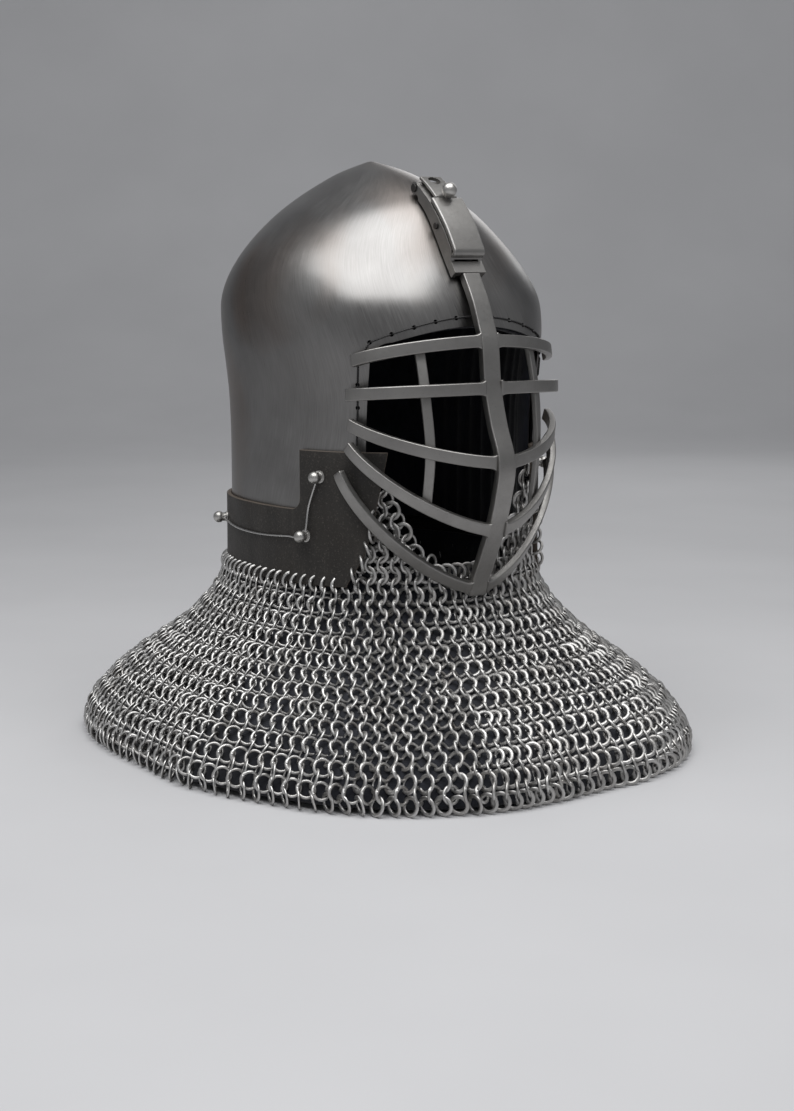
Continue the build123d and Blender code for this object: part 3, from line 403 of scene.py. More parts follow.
def oval_reach(c, s, wide, depth, power):
    """Distance from the middle to a superellipse in the direction whose cosine and sine are c and s."""
    return ((np.abs(c) / wide) ** power + (np.abs(s) / depth) ** power) ** (-1 / power)


def run_along(points):
    """Distance travelled at each point of a polyline."""
    return np.concatenate([[0], np.cumsum(np.linalg.norm(np.diff(points, axis=0), axis=1))])


def columns_at(at, run, table):
    """Rows of a table between its own rows, at places of their run."""
    return np.stack([np.interp(at, run, column) for column in table.T], 1)


def gauss(values, sigma):
    """Gaussian smoothing along the first axis, with straight run-ons at both ends."""
    reach = int(3 * sigma) + 1
    kernel = np.exp(-0.5 * (np.arange(-reach, reach + 1) / sigma) ** 2)
    kernel /= kernel.sum()
    before = values[0] - (values[1:reach + 1][::-1] - values[0])
    after = values[-1] + (values[-1] - values[-reach - 1:-1][::-1])
    padded = np.concatenate([before, values, after])
    return np.stack([np.convolve(padded[:, k], kernel, "valid") for k in range(values.shape[1])], 1)


def resample(points, step):
    """Points spread evenly along a polyline, about step apart."""
    points = np.asarray(points, float)
    run = run_along(points)
    count = max(int(round(run[-1] / step)), 2)
    return columns_at(np.linspace(0, run[-1], count + 1), run, points)

def spline(points, step):
    """Smooth line through the points, as a centripetal Catmull-Rom curve sampled about step apart."""
    points = np.asarray(points, float)
    ends = np.concatenate([[2 * points[0] - points[1]], points, [2 * points[-1] - points[-2]]])
    out = []
    for k in range(1, len(ends) - 2):
        p0, p1, p2, p3 = ends[k - 1:k + 3]
        t = [0.0]
        for a, b in ((p0, p1), (p1, p2), (p2, p3)):
            t.append(t[-1] + max(np.linalg.norm(b - a), 1e-9) ** 0.5)
        count = max(int(np.linalg.norm(p2 - p1) / step * 3), 6)
        for x in np.linspace(t[1], t[2], count, endpoint=False):
            def blend(one, two, low, high):
                return ((t[high] - x) * one + (x - t[low]) * two) / (t[high] - t[low])

            a1, a2, a3 = blend(p0, p1, 0, 1), blend(p1, p2, 1, 2), blend(p2, p3, 2, 3)
            out.append(blend(blend(a1, a2, 0, 2), blend(a2, a3, 1, 3), 1, 2))
    out.append(points[-1])
    return resample(out, step)


# Skull surface, the CAD's own table: height, half width, front, back, middle and power, as shares
skull_shares = [
    (0.000, 0.940, 0.971, 0.952, 0.000, 2.30), (0.135, 0.940, 0.971, 0.952, 0.000, 2.30),
    (0.255, 0.940, 0.971, 0.952, 0.000, 2.30), (0.379, 0.948, 0.979, 0.960, 0.000, 2.30),
    (0.463, 0.968, 0.992, 0.976, 0.000, 2.30), (0.554, 0.994, 1.000, 0.996, 0.000, 2.30),
    (0.627, 1.000, 0.971, 1.000, 0.004, 2.30), (0.693, 0.966, 0.903, 0.976, 0.016, 2.20),
    (0.740, 0.913, 0.830, 0.927, 0.032, 2.10), (0.795, 0.803, 0.747, 0.867, 0.048, 2.05),
    (0.862, 0.624, 0.639, 0.762, 0.060, 2.00), (0.908, 0.450, 0.515, 0.669, 0.073, 2.00),
    (0.948, 0.294, 0.357, 0.508, 0.085, 2.00), (0.977, 0.171, 0.183, 0.355, 0.097, 2.00),
    (1.000, 0.046, -0.050, 0.145, 0.097, 2.00),
]


def hermite(rows, count):
    """Monotone cubic rows between the given ones."""
    rows = np.asarray(rows, float)
    gaps = np.diff(rows[:, 0])[:, None]
    rates = np.diff(rows[:, 1:], axis=0) / gaps
    low = np.concatenate([rates[:1], rates])
    high = np.concatenate([rates, rates[-1:]])
    product = low * high
    slopes = np.where(product > 0, 2 * product / np.where(low + high == 0, 1, low + high), 0)
    out = []
    for k in range(len(rows) - 1):
        span = rows[k + 1, 0] - rows[k, 0]
        for t in np.arange(count) / count:
            body = (rows[k, 1:] * (2 * t ** 3 - 3 * t ** 2 + 1) + slopes[k] * span * (t ** 3 - 2 * t ** 2 + t)
                    + rows[k + 1, 1:] * (3 * t ** 2 - 2 * t ** 3) + slopes[k + 1] * span * (t ** 3 - t ** 2))
            out.append(np.concatenate([[rows[k, 0] + span * t], body]))
    out.append(rows[-1])
    return np.array(out)


tip_rise, dome_smoothing, foot_blend = 1.1, 5.0, 18.0


def skull_table():
    """Rows of height, half width, front, back, middle and power, one per millimetre up the dome."""
    rows = [(skull_base + a * (skull_top - skull_base), b * skull_half, c * skull_front, d * skull_back,
             e * skull_back, f) for a, b, c, d, e, f in skull_shares]
    dense = hermite(rows, 40)
    z, wide, front, back, mid = dense[-1][:5]
    cap = [(z + tip_rise * (1 - share ** 2), wide * share, (front + mid) * share - mid,
            (back - mid) * share + mid, mid, 2.0) for share in (0.8, 0.6, 0.4, 0.2, 0.02)]
    dense = np.concatenate([dense, cap])
    reach = (2 * dense[:, 1] + dense[:, 2] + dense[:, 3]) / 4
    run = run_along(np.stack([reach, dense[:, 0]], 1))
    at = np.arange(0, run[-1], 1.0)
    table = columns_at(at, run, dense)
    keep = np.clip((run[-1] - at) / foot_blend, 0, 1)[:, None]
    return at, table * (1 - keep) + gauss(table, dome_smoothing) * keep


skull_run, skull_rows = skull_table()


def skull_points(run, turn):
    """Points of the dome at a run up it and a turn round it, in millimetres."""
    z, wide, front, back, mid, power = [np.interp(run, skull_run, column) for column in skull_rows.T]
    c, s = np.cos(turn), np.sin(turn)
    depth = np.where(s > 0, back - mid, front + mid)
    reach = oval_reach(c, s, wide, depth, power)
    return np.stack([reach * c, reach * s + mid, z + 0 * turn], -1)


def skull_normals(run, turn):
    run = np.clip(run, 0, skull_run[-1] - 1.5)
    up = skull_points(run + 1.2, turn) - skull_points(np.maximum(run - 1.2, 0), turn)
    return unit(np.cross(skull_points(run, turn + 0.01) - skull_points(run, turn - 0.01), up))


def skull_place(points):
    """Run and turn on the dome of points near it."""
    run = np.interp(points[..., 2], skull_rows[:, 0], skull_run)
    mid = np.interp(run, skull_run, skull_rows[:, 4])
    return run, np.arctan2(points[..., 1] - mid, points[..., 0])


def front_point(x, z, out):
    """Point on the front of the dome seen from the front, moved outward."""
    run = np.interp(z, skull_rows[:, 0], skull_run)
    turns = np.linspace(-math.pi, 0, 721)
    line = skull_points(np.full_like(turns, run), turns)
    turn = np.interp(x, line[:, 0], turns)
    place = skull_points(np.array(run), np.array(turn))
    return place + skull_normals(np.array(run), np.array(turn)) * out


def dome_shell(name, runs, columns, outer_inset, inner_inset):
    """Closed shell between two surfaces inside the dome; the insets may vary over it."""
    turns = np.linspace(0, 2 * math.pi, columns, endpoint=False)
    run_grid, turn_grid = np.meshgrid(runs, turns, indexing="ij")
    place = skull_points(run_grid, turn_grid)
    normal = skull_normals(run_grid, turn_grid)
    layers = []
    for inset in (outer_inset, inner_inset):
        depth = inset(run_grid, turn_grid) if callable(inset) else np.full_like(run_grid, inset)
        layers.append(place - normal * depth[..., None])
    rows = len(runs)
    tips = [[layer[-1].mean(0)] for layer in layers]
    verts = np.concatenate([layer.reshape(-1, 3) for layer in layers] + tips)
    size = rows * columns
    faces = []
    nexts = (np.arange(columns) + 1) % columns
    for r in range(rows - 1):
        a = r * columns + np.arange(columns)
        b = r * columns + nexts
        faces += np.stack([a, b, b + columns, a + columns], 1).tolist()
        faces += np.stack([a + size, a + columns + size, b + columns + size, b + size], 1).tolist()
    low = np.arange(columns)
    faces += np.stack([low, low + size, nexts + size, nexts], 1).tolist()
    top = (rows - 1) * columns
    for k in range(columns):
        n = nexts[k]
        faces.append([top + k, top + n, 2 * size])
        faces.append([top + n + size, top + k + size, 2 * size + 1])
    return mesh_object(name, verts, faces)


def faces_out(obj):
    """Turn every face of a closed mesh outward."""
    work = bmesh.new()
    work.from_mesh(obj.data)
    bmesh.ops.recalc_face_normals(work, faces=work.faces)
    work.to_mesh(obj.data)
    work.free()


def prism(name, outline, y_from, y_to):
    """Closed prism along Y from (x, z) points."""
    count = len(outline)
    verts = [(x, y_from, z) for x, z in outline] + [(x, y_to, z) for x, z in outline]
    faces = [list(range(count)), list(range(2 * count - 1, count - 1, -1))]
    faces += [[k, k + count, (k + 1) % count + count, (k + 1) % count] for k in range(count)]
    obj = mesh_object(name, verts, faces, False)
    faces_out(obj)
    return obj


def circle(centre, radius, side, other, sides):
    """Points round a centre, in the plane of two directions."""
    turns = 2 * math.pi * np.arange(sides)[:, None] / sides
    return list(centre + radius * (np.cos(turns) * side + np.sin(turns) * other))


def ring_faces(first, rings, sides):
    """Quads between rings of points that follow each other, and a face at both ends."""
    faces = []
    for a in range(first, first + (rings - 1) * sides, sides):
        for k in range(sides):
            n = (k + 1) % sides
            faces.append([a + k, a + n, a + sides + n, a + sides + k])
    last = first + (rings - 1) * sides
    return faces + [list(range(first, first + sides))[::-1], list(range(last, last + sides))]


def pegs(name, ends, radius, sides):
    """Closed round pegs between pairs of points."""
    verts, faces = [], []
    for start, end in ends:
        axis = unit(end - start)
        side = unit(np.cross(axis, [0, 0, 1.0] if abs(axis[2]) < 0.9 else [1.0, 0, 0]))
        other = np.cross(axis, side)
        faces += ring_faces(len(verts), 2, sides)
        verts += circle(start, radius, side, other, sides) + circle(end, radius, side, other, sides)
    return mesh_object(name, verts, faces, False)


def apply_modifiers(obj):
    bpy.context.view_layer.update()
    graph = bpy.context.evaluated_depsgraph_get()
    mesh = bpy.data.meshes.new_from_object(obj.evaluated_get(graph))
    obj.modifiers.clear()
    old = obj.data
    obj.data = mesh
    bpy.data.meshes.remove(old)
    return obj


def cut(obj, *tools, solver="MANIFOLD"):
    """Take closed tools out of a closed mesh, and remove the tools."""
    for tool in tools:
        change = obj.modifiers.new("cut", "BOOLEAN")
        change.operation = "DIFFERENCE"
        change.solver = solver
        change.object = tool
    apply_modifiers(obj)
    for tool in tools:
        data = tool.data
        bpy.data.objects.remove(tool)
        bpy.data.meshes.remove(data)
    return obj


def points_of(mesh):
    co = np.empty(len(mesh.vertices) * 3, np.float32)
    mesh.vertices.foreach_get("co", co)
    return co.reshape(-1, 3).astype(float) / MM


def add_attribute(mesh, name, kind, values):
    found = mesh.attributes.get(name) or mesh.attributes.new(name, kind, "POINT")
    field = "vector" if kind == "FLOAT_VECTOR" else "value"
    found.data.foreach_set(field, np.asarray(values, np.float32).ravel())


def dome_normals(mesh):
    """Shading normals from the dome's own formula, plain ones on its cut edges."""
    co = points_of(mesh)
    run, turn = skull_place(co)
    ideal = skull_normals(run, turn)
    count = len(mesh.polygons)
    flat = np.empty(count * 3, np.float32)
    mesh.polygons.foreach_get("normal", flat)
    flat = flat.reshape(-1, 3).astype(float)
    totals = np.empty(count, np.int32)
    mesh.polygons.foreach_get("loop_total", totals)
    corner = np.empty(len(mesh.loops), np.int32)
    mesh.loops.foreach_get("vertex_index", corner)
    face = np.repeat(flat, totals, axis=0)
    best = ideal[corner]
    likeness = (face * best).sum(1)
    chosen = np.where((likeness > 0.80)[:, None], best, np.where((likeness < -0.80)[:, None], -best, face))
    mesh.polygons.foreach_set("use_smooth", np.ones(count, bool))
    mesh.normals_split_custom_set(chosen.tolist())


# Skull


def opening(inset, low):
    """Outline of the face opening, smaller all round by the inset, open down to a low height."""
    sizes = (opening_half, opening_shoulder, opening_top, opening_radius)
    half, shoulder, top, radius = [size - inset for size in sizes]
    flat = half - radius
    side = [(half, low), (half, shoulder - radius)]
    side += [(flat + radius * math.cos(t), shoulder - radius + radius * math.sin(t))
             for t in np.linspace(0, math.pi / 2, 13)[1:-1]]
    side += [(flat * k, top - (top - shoulder) * k ** 2) for k in np.linspace(1, 0, 15)[:-1]]
    return side + [(0, top)] + [(-x, z) for x, z in reversed(side)]


# stitch holes from the side of the face up to its middle, as shares of the half width and of the drop
lacing_shares = [(0.983, 0.842), (0.984, 0.670), (0.994, 0.498), (1.000, 0.325), (0.933, 0.183),
                 (0.777, 0.123), (0.596, 0.074), (0.402, 0.034), (0.198, 0.009)]
lacing_right = [(-lacing_half * a, lacing_top - lacing_drop * b) for a, b in lacing_shares]
lacing = lacing_right + [(0, lacing_top)] + [(-x, z) for x, z in reversed(lacing_right)]
window_low, window_front = 120.0, -160.0
dome_step, dome_columns, peg_out, peg_in = 2.4, 300, 4.0, -6.0

skull = dome_shell("skull_plate", np.arange(0, skull_run[-1] - 0.6, dome_step), dome_columns, 0.0, skull_wall)
hole_ends = [(front_point(x, z, peg_out), front_point(x, z, peg_in)) for x, z in lacing]
holes = pegs("holes", hole_ends, lacing_hole, 16)
cut(skull, prism("window", opening(0, window_low), window_front, 0.0), holes)
run, turn = skull_place(points_of(skull.data))
wander = turn + 0.10 * np.sin(run * 0.031 + 1.3) + 0.05 * np.sin(turn * 3 + run * 0.012)
brush = np.stack([np.cos(wander) * 110, np.sin(wander) * 110, run * 0.035], 1)
add_attribute(skull.data, "brush", "FLOAT_VECTOR", brush)
dome_normals(skull.data)
dress(skull, skull_steel, "helmet", "polished_steel", "skull")

# Stitching thread


def tube(name, lines, radius, sides):
    """Round tube along each smooth line of points."""
    verts, faces = [], []
    for line in lines:
        ahead = unit(np.gradient(line, axis=0))
        side = np.cross(ahead[0], [0.0, 0.0, 1.0])
        if np.linalg.norm(side) < 0.2:
            side = np.cross(ahead[0], [1.0, 0.0, 0.0])
        faces += ring_faces(len(verts), len(line), sides)
        for k, centre in enumerate(line):
            side = unit(side - ahead[k] * (side @ ahead[k]))
            verts += circle(centre, radius, side, np.cross(ahead[k], side), sides)
    return mesh_object(name, verts, faces)


# shares of a stitch and the thread's height above the plate; it dips into the holes at both ends
stitch_rises = ((0.0, -1.9), (0.04, -0.9), (0.11, 0.45), (0.3, 0.62), (0.5, 0.66), (0.7, 0.62),
                (0.89, 0.45), (0.96, -0.9), (1.0, -1.9))
tail_rises = ((0.0, -1.6), (0.05, -0.1), (0.14, 0.55), (0.5, 0.6), (1.0, 0.6))
stitch_sway, tail_top, tail_drop, thread_step = 0.25, 236.5, 10.4, 0.8
stitches = []
for (xa, za), (xb, zb) in zip(lacing[:-1], lacing[1:]):
    line = []
    for share, rise in stitch_rises:
        z = za + (zb - za) * share + stitch_sway * math.sin(math.pi * share)
        line.append(front_point(xa + (xb - xa) * share, z, rise))
    stitches.append(spline(line, thread_step))
for side in (-1, 1):
    tail_x = side * lacing_half * lacing_shares[0][0]
    line = [front_point(tail_x, tail_top - tail_drop * share, rise) for share, rise in tail_rises]
    stitches.append(spline(line, thread_step))
thread = tube("stitching", stitches, thread_radius, 8)
dress(thread, thread_black, "helmet", "thread", "lacing_thread")

# Quilted liner
liner_gap, liner_depth, quilt_depth, quilt_waves, quilt_fade = 3.5, 13.2, 2.6, 21, 90.0
liner_foot, liner_step, liner_columns, liner_inset, liner_voxel = 3.0, 2.6, 504, 1.5, 2.4


def quilt(run, turn):
    """Depth of the liner's inner face: upright padded channels that die out near the top."""
    channels = np.abs(np.sin(turn * quilt_waves)) ** 0.55
    fade = np.clip((skull_run[-1] - run) / quilt_fade, 0, 1)
    return liner_depth - quilt_depth * (1 - channels) * fade


liner_runs = np.arange(liner_foot, skull_run[-1] - skull_wall, liner_step)
liner = dome_shell("quilted_liner", liner_runs, liner_columns, liner_gap, quilt)
cut(liner, prism("liner_window", opening(liner_inset, window_low), window_front, 0.0))
remesh = liner.modifiers.new("remesh", "REMESH")
remesh.mode = "VOXEL"
remesh.voxel_size = liner_voxel * MM
soften = liner.modifiers.new("soften", "SMOOTH")
soften.factor = 0.5
soften.iterations = 2
apply_modifiers(liner)
smooth(liner)
dress(liner, quilting, "helmet", "quilting", "liner")

# Leather band
wall_wide, wall_front, wall_back = 0.940 * skull_half, 0.971 * skull_front, 0.952 * skull_back
wall_power = 2.30


def wall_points(turn, z, out):
    """Points outside the upright lower wall, at a turn from the front centre."""
    turn = np.asarray(turn, float) - math.pi / 2
    c, s = np.cos(turn), np.sin(turn)
    depth = np.where(s > 0, wall_back, wall_front) + out
    reach = oval_reach(c, s, wall_wide + out, depth, wall_power)
    return np.stack([reach * c, reach * s, z + 0 * turn], -1)


turn_table = np.linspace(0, math.pi, 2001)
wall_line = wall_points(turn_table, 0.0, leather_out)


def turn_at_x(x):
    half = turn_table <= math.pi / 2
    return float(np.interp(x, wall_line[half, 0], turn_table[half]))


def turn_at_y(y):
    return float(np.interp(y, wall_line[:, 1], turn_table))


# front edge of the leather: shares of its height and of the sweep toward the cheek
edge_high, edge_sweep = (0.0, 0.16, 0.34, 0.62, 1.0), (1.0, 0.70, 0.47, 0.27, 0.0)
edge_heights = np.arange(120.0, 230.0, 1.0)
edge_shares = np.interp((edge_heights - leather_foot) / (cheek_top - leather_foot), edge_high, edge_sweep)
edge_line = gauss((cheek_edge + cheek_sweep * edge_shares)[:, None], 4.0)[:, 0]


def leather_front(z):
    return turn_at_x(float(np.interp(z, edge_heights, edge_line)))


outer_gain, foot_flare, flare_height, rim_round = 0.25, 0.8, 12.0, 0.7


def leather_band():
    """The strip and its two cheeks as one closed shell, with rounded cut edges."""
    front_columns, main_columns = 12, 150
    columns = 2 * front_columns + main_columns
    stops = (0, front_columns, front_columns + main_columns, columns)
    corner_turn = turn_at_y(step_y + step_radius)
    low_rows = np.linspace(leather_foot, leather_top, 19)
    rises = [0.15, 0.6, 1.3, 2.3, 3.5, 4.8, 6.0, 9, 13, 18, 23, 28, 33, 38, cheek_top - leather_top]
    verts, faces, index = [], [], {}

    def add_row(key, first, turns, z):
        for c, turn in enumerate(turns):
            index[key, first + c] = len(verts)
            verts.append((turn, z))

    def add_faces(keys, first, last):
        for low, high in zip(keys[:-1], keys[1:]):
            for c in range(first, last):
                faces.append([index[low, c], index[low, c + 1], index[high, c + 1], index[high, c]])

    for r, z in enumerate(low_rows):
        start = leather_front(z)
        ends = (start, corner_turn, 2 * math.pi - corner_turn, 2 * math.pi - start)
        add_row(r, 0, np.interp(np.arange(columns + 1), stops, ends), z)
    add_faces(range(len(low_rows)), 0, columns)
    for mirrored in (False, True):
        keys, first = [len(low_rows) - 1], columns - front_columns if mirrored else 0
        for rise in rises:
            start = leather_front(leather_top + rise)
            to_side = step_radius - min(rise, step_radius)
            end = turn_at_y(step_y + step_radius - math.sqrt(step_radius ** 2 - to_side ** 2))
            turns = np.linspace(start, end, front_columns + 1)
            keys.append((mirrored, rise))
            add_row(keys[-1], first, 2 * math.pi - turns[::-1] if mirrored else turns, leather_top + rise)
        add_faces(keys, first, first + front_columns)
    turn, high = np.array(verts).T
    swell = 0.28 * np.sin(turn * 7 + 0.6) * np.sin(high * 0.045) + 0.22 * np.sin(turn * 17 + 2)
    flare = foot_flare * np.clip((leather_foot + flare_height - high) / flare_height, 0, 1) ** 2
    outer = wall_points(turn, high, leather_out + outer_gain)
    inner = wall_points(turn, high, leather_seat)
    for layer, share in ((outer, 1.0), (inner, 0.4)):
        layer[:, :2] += unit(layer[:, :2]) * ((np.maximum(swell, -0.1) + flare) * share)[:, None]
    count = len(turn)
    edges = {(a, b) for face in faces for a, b in zip(face, face[1:] + face[:1])}
    rim = [(a, b) for face in faces for a, b in zip(face, face[1:] + face[:1]) if (b, a) not in edges]
    all_faces = faces + [[v + count for v in reversed(face)] for face in faces]
    all_faces += [[b, a, a + count, b + count] for a, b in rim]
    obj = mesh_object("leather_strap", np.concatenate([outer, inner]), all_faces)
    work = bmesh.new()
    work.from_mesh(obj.data)
    bmesh.ops.recalc_face_normals(work, faces=work.faces)
    rims = {frozenset((a + layer, b + layer)) for a, b in rim for layer in (0, count)}
    chosen = [e for e in work.edges if frozenset(v.index for v in e.verts) in rims]
    bmesh.ops.bevel(work, geom=chosen, offset=rim_round * MM, segments=2, profile=0.6, affect="EDGES",
                    clamp_overlap=True)
    work.normal_update()
    raw = np.zeros(len(work.verts))
    work.verts.ensure_lookup_table()
    for face in work.faces:
        middle = face.calc_center_median()
        away = Vector((middle.x, middle.y, 0)).normalized()
        if abs(face.normal.dot(away)) < 0.45:
            for v in face.verts:
                raw[v.index] = 1.0
    work.to_mesh(obj.data)
    work.free()
    add_attribute(obj.data, "raw", "FLOAT", raw)
    smooth(obj)
    return obj


band = leather_band()
dress(band, leather, "helmet", "band_leather", "leather_band")

# Vervelles and their wire


def wall_foot(y, side, out=0.0):
    """Point on the lower wall at a given y, moved outward, and its outward direction."""
    depth = (wall_back if y > 0 else wall_front) + out
    wide = wall_wide + out
    x = wide * (1 - (abs(y) / depth) ** wall_power) ** (1 / wall_power)
    nx = (x / wide) ** (wall_power - 1) / wide
    ny = (abs(y) / depth) ** (wall_power - 1) / depth * (1 if y > 0 else -1)
    normal = np.array([side * nx, ny, 0.0])
    return np.array([side * x, y, 0.0]), unit(normal)


wire_gap, wire_above = 0.9, 3.9
wire_out = leather_out + wire_gap + wire_radius


def wire_route():
    """Points of the wire from the upper stud of one side, round the back, to that of the other side."""
    foot, normal = wall_foot(stud_rows[0][0], -1)
    route = [foot + normal * (leather_out + eye_height) + [0, 0, stud_rows[0][1] + wire_above]]
    spans = (((0.5,), 0.0), ((0.12, 0.3, 0.5, 0.7, 0.88), wire_sag), ((), 0.0))
    for i, (y, z) in enumerate(stud_rows):
        foot, normal = wall_foot(y, -1)
        route.append(foot + normal * (leather_out + eye_height) + [0, 0, z])
        shares, sag = spans[i]
        for share in shares:
            y_end, z_end = stud_rows[i + 1]
            place, normal = wall_foot(y + (y_end - y) * share, -1, wire_out)
            place[2] = z + (z_end - z) * share - 4 * sag * share * (1 - share)
            route.append(place)
    start, normal = wall_foot(y, -1, wire_out)
    for share in (0.86, 0.68, 0.5, 0.3, 0.12):
        x = start[0] * share
        y = (wall_back + wire_out) * (1 - (abs(x) / (wall_wide + wire_out)) ** wall_power) ** (1 / wall_power)
        route.append(np.array([x, y, z - 4 * wire_sag * share * (1 - share)]))
    middle = np.array([0, wall_back + leather_out + eye_height, z])
    return np.array(route + [middle] + [p * [-1, 1, 1] for p in reversed(route)])


route = wire_route()
wire = tube("steel_wire", [spline(route, 1.6)], wire_radius, 10)
dress(wire, wire_steel, "helmet", "wire_steel", "retaining_wire")


def lathe(profile, origin, axis, sides=36):
    """Surface turned about an axis from (radius, height) points, closed at both ends."""
    side = unit(np.cross(axis, [0, 0, 1.0]))
    verts = []
    for radius, height in profile:
        verts += circle(origin + axis * height, radius, side, np.cross(side, axis), sides)
    return verts, ring_faces(0, len(profile), sides)


# radius and height of a stud's clenched tail, shank, washer and neck
stud_neck = [(3.4, -8.0), (3.4, -7.0), (2.0, -7.0), (2.0, -0.3), (4.3, -0.3), (4.45, 0.1), (4.35, 0.6),
             (4.0, 0.8), (3.5, 0.85), (3.55, 1.3), (3.35, 1.5), (3.15, 1.6), (3.15, 4.4), (3.3, 4.7)]


def stud_profile():
    low = -math.acos(stud_neck[-1][0] / ball_radius)
    ball = [(max(ball_radius * math.cos(t), 0.05), ball_height + ball_radius * math.sin(t))
            for t in np.linspace(low, math.pi / 2, 12)[1:]]
    return stud_neck + ball


def add_shapes(name, shapes):
    """One mesh of several closed shapes, its faces turned outward."""
    verts, faces = [], []
    for points, quads in shapes:
        faces += [[k + len(verts) for k in face] for face in quads]
        verts += points
    obj = mesh_object(name, verts, faces)
    faces_out(obj)
    return obj


def make_studs():
    """Seven studs with drilled eyes: three on each side and one in the middle of the back."""
    places = []
    for side in (-1, 1):
        for y, z in stud_rows:
            foot, normal = wall_foot(y, side)
            places.append((foot + [0, 0, z], normal))
    places.append((np.array([0, wall_back, stud_rows[-1][1]]), np.array([0, 1.0, 0])))
    shapes, ends = [], []
    for foot, normal in places:
        shapes.append(lathe(stud_profile(), foot + normal * (leather_out + leather_seat), normal))
        eye = foot + normal * (leather_out + eye_height)
        nearest = int(np.argmin(np.linalg.norm(route - eye, axis=1)))
        for k in (nearest - 1, nearest + 1):
            arm = unit(route[k] - route[nearest])
            ends.append((eye - arm * 0.8, eye + arm * 6.0))
    obj = add_shapes("ball_studs", shapes)
    cut(obj, pegs("eyes_a", ends[0::2], eye_radius, 16), solver="EXACT")
    cut(obj, pegs("eyes_b", ends[1::2], eye_radius, 16), solver="EXACT")
    smooth(obj)
    obj.data.set_sharp_from_angle(angle=math.radians(38))
    return obj


studs = make_studs()
dress(studs, stud_steel, "helmet", "stud_steel", "vervelles")

# Bars of the visor


def rounded_box(width, depth, radius, steps=2):
    """Outline of (across, out) points: out runs from -depth to 0."""
    reach, near, far = width / 2 - radius, -radius, radius - depth
    points = []
    for cx, cy, first in ((reach, near, 0), (-reach, near, 90), (-reach, far, 180), (reach, far, 270)):
        for k in range(steps + 1):
            turn = math.radians(first + 90 * k / steps)
            points.append((cx + radius * math.cos(turn), cy + radius * math.sin(turn)))
    return points


def strap(line, outs, width, depth, radius, flare=None):
    """Bar with a rounded rectangular section along a line, its outer face centred on the line."""
    line, outs = np.asarray(line, float), np.asarray(outs, float)
    flare = np.zeros(len(line)) if flare is None else flare
    ahead = unit(np.gradient(line, axis=0))
    outs = unit(outs - ahead * (outs * ahead).sum(1)[:, None])
    across = np.cross(outs, ahead)
    last = len(line) - 1
    stations = [(0, 0.0, radius), (0, 0.30 * radius, 0.30 * radius), (0, radius, 0.0)]
    stations += [(k, 0.0, 0.0) for k in range(1, last)]
    stations += [(last, -radius, 0.0), (last, -0.30 * radius, 0.30 * radius), (last, 0.0, radius)]
    verts = []
    for k, shift, inset in stations:
        outline = rounded_box(width + flare[k] - 2 * inset, depth - 2 * inset, max(radius - inset, 0.12))
        place = line[k] + ahead[k] * shift
        verts += [place + across[k] * u + outs[k] * (v - inset) for u, v in outline]
    return verts, ring_faces(0, len(stations), len(outline))


def flat_faces(obj):
    """Shading that keeps wide faces flat and puts the turn into the narrow bevels."""
    weigh = obj.modifiers.new("weigh", "WEIGHTED_NORMAL")
    weigh.keep_sharp = True
    weigh.weight = 100
    return apply_modifiers(obj)


def join(name, *shapes):
    """One mesh of several straps, with sharp edges and flat wide faces."""
    obj = add_shapes(name, shapes)
    obj.data.set_sharp_from_angle(angle=math.radians(50))
    return flat_faces(obj)


# half width, reach and height at the ends, reach and height in the middle, power of the curve and lean
bars = [
    (84.2, 91.1, 284.4, 137.2, 298.0, 1.70, -6.0),
    (87.0, 88.5, 261.5, 142.3, 265.8, 2.00, 0.0),
    (86.5, 90.2, 241.7, 156.6, 216.0, 1.55, 0.0),
    (88.1, 90.7, 226.9, 149.0, 168.0, 1.52, 20.0),
    (92.5, 85.7, 208.5, 126.8, 124.5, 1.52, 28.0),
]


def bar_point(bar, share):
    """Point on a bar's outer face, from its end at 0 to the middle at 1."""
    end_half, end_reach, end_height, mid_reach, mid_height, power = bar[:6]
    angle = math.pi / 2 * share
    x = end_half * max(math.cos(angle), 0) ** (2 / power) if share < 1 else 0.0
    run = math.sin(angle) ** (2 / power) if share > 0 else 0.0
    y = (end_reach - mid_reach) * run - end_reach
    return np.array([x, y, end_height + (mid_height - end_height) * run])


def bar_out(bar, share):
    angle, lean = math.pi / 2 * share, math.radians(bar[6])
    return np.array([math.cos(angle), -math.sin(angle) * math.cos(lean), -math.sin(angle) * math.sin(lean)])


def bar_shape(bar, side):
    """Half a bar, from its end to the centre bar, thicker where it is welded there."""
    shares = np.linspace(0, 1, 200)
    line = np.array([bar_point(bar, s) for s in shares])
    outs = np.array([bar_out(bar, s) for s in shares])
    keep = line[:, 0] >= centre_width / 2 - bar_round
    run = run_along(line[keep])
    at = np.linspace(0, run[-1], int(run[-1] / 1.8))
    line, outs = columns_at(at, run, line[keep]), columns_at(at, run, outs[keep])
    weld = bar_weld * np.clip(1 - (line[:, 0] - centre_width / 2) / 4.5, 0, 1) ** 2
    line[:, 0] *= side
    outs[:, 0] *= side
    return strap(line, outs, bar_height, bar_thick, bar_round, weld)


for number, bar in enumerate(bars, start=1):
    piece = join("cross_bar_%d_forged" % number, bar_shape(bar, 1), bar_shape(bar, -1))
    dress(piece, visor_steel, "visor", "visor_steel", "cross_bar_%d" % number)

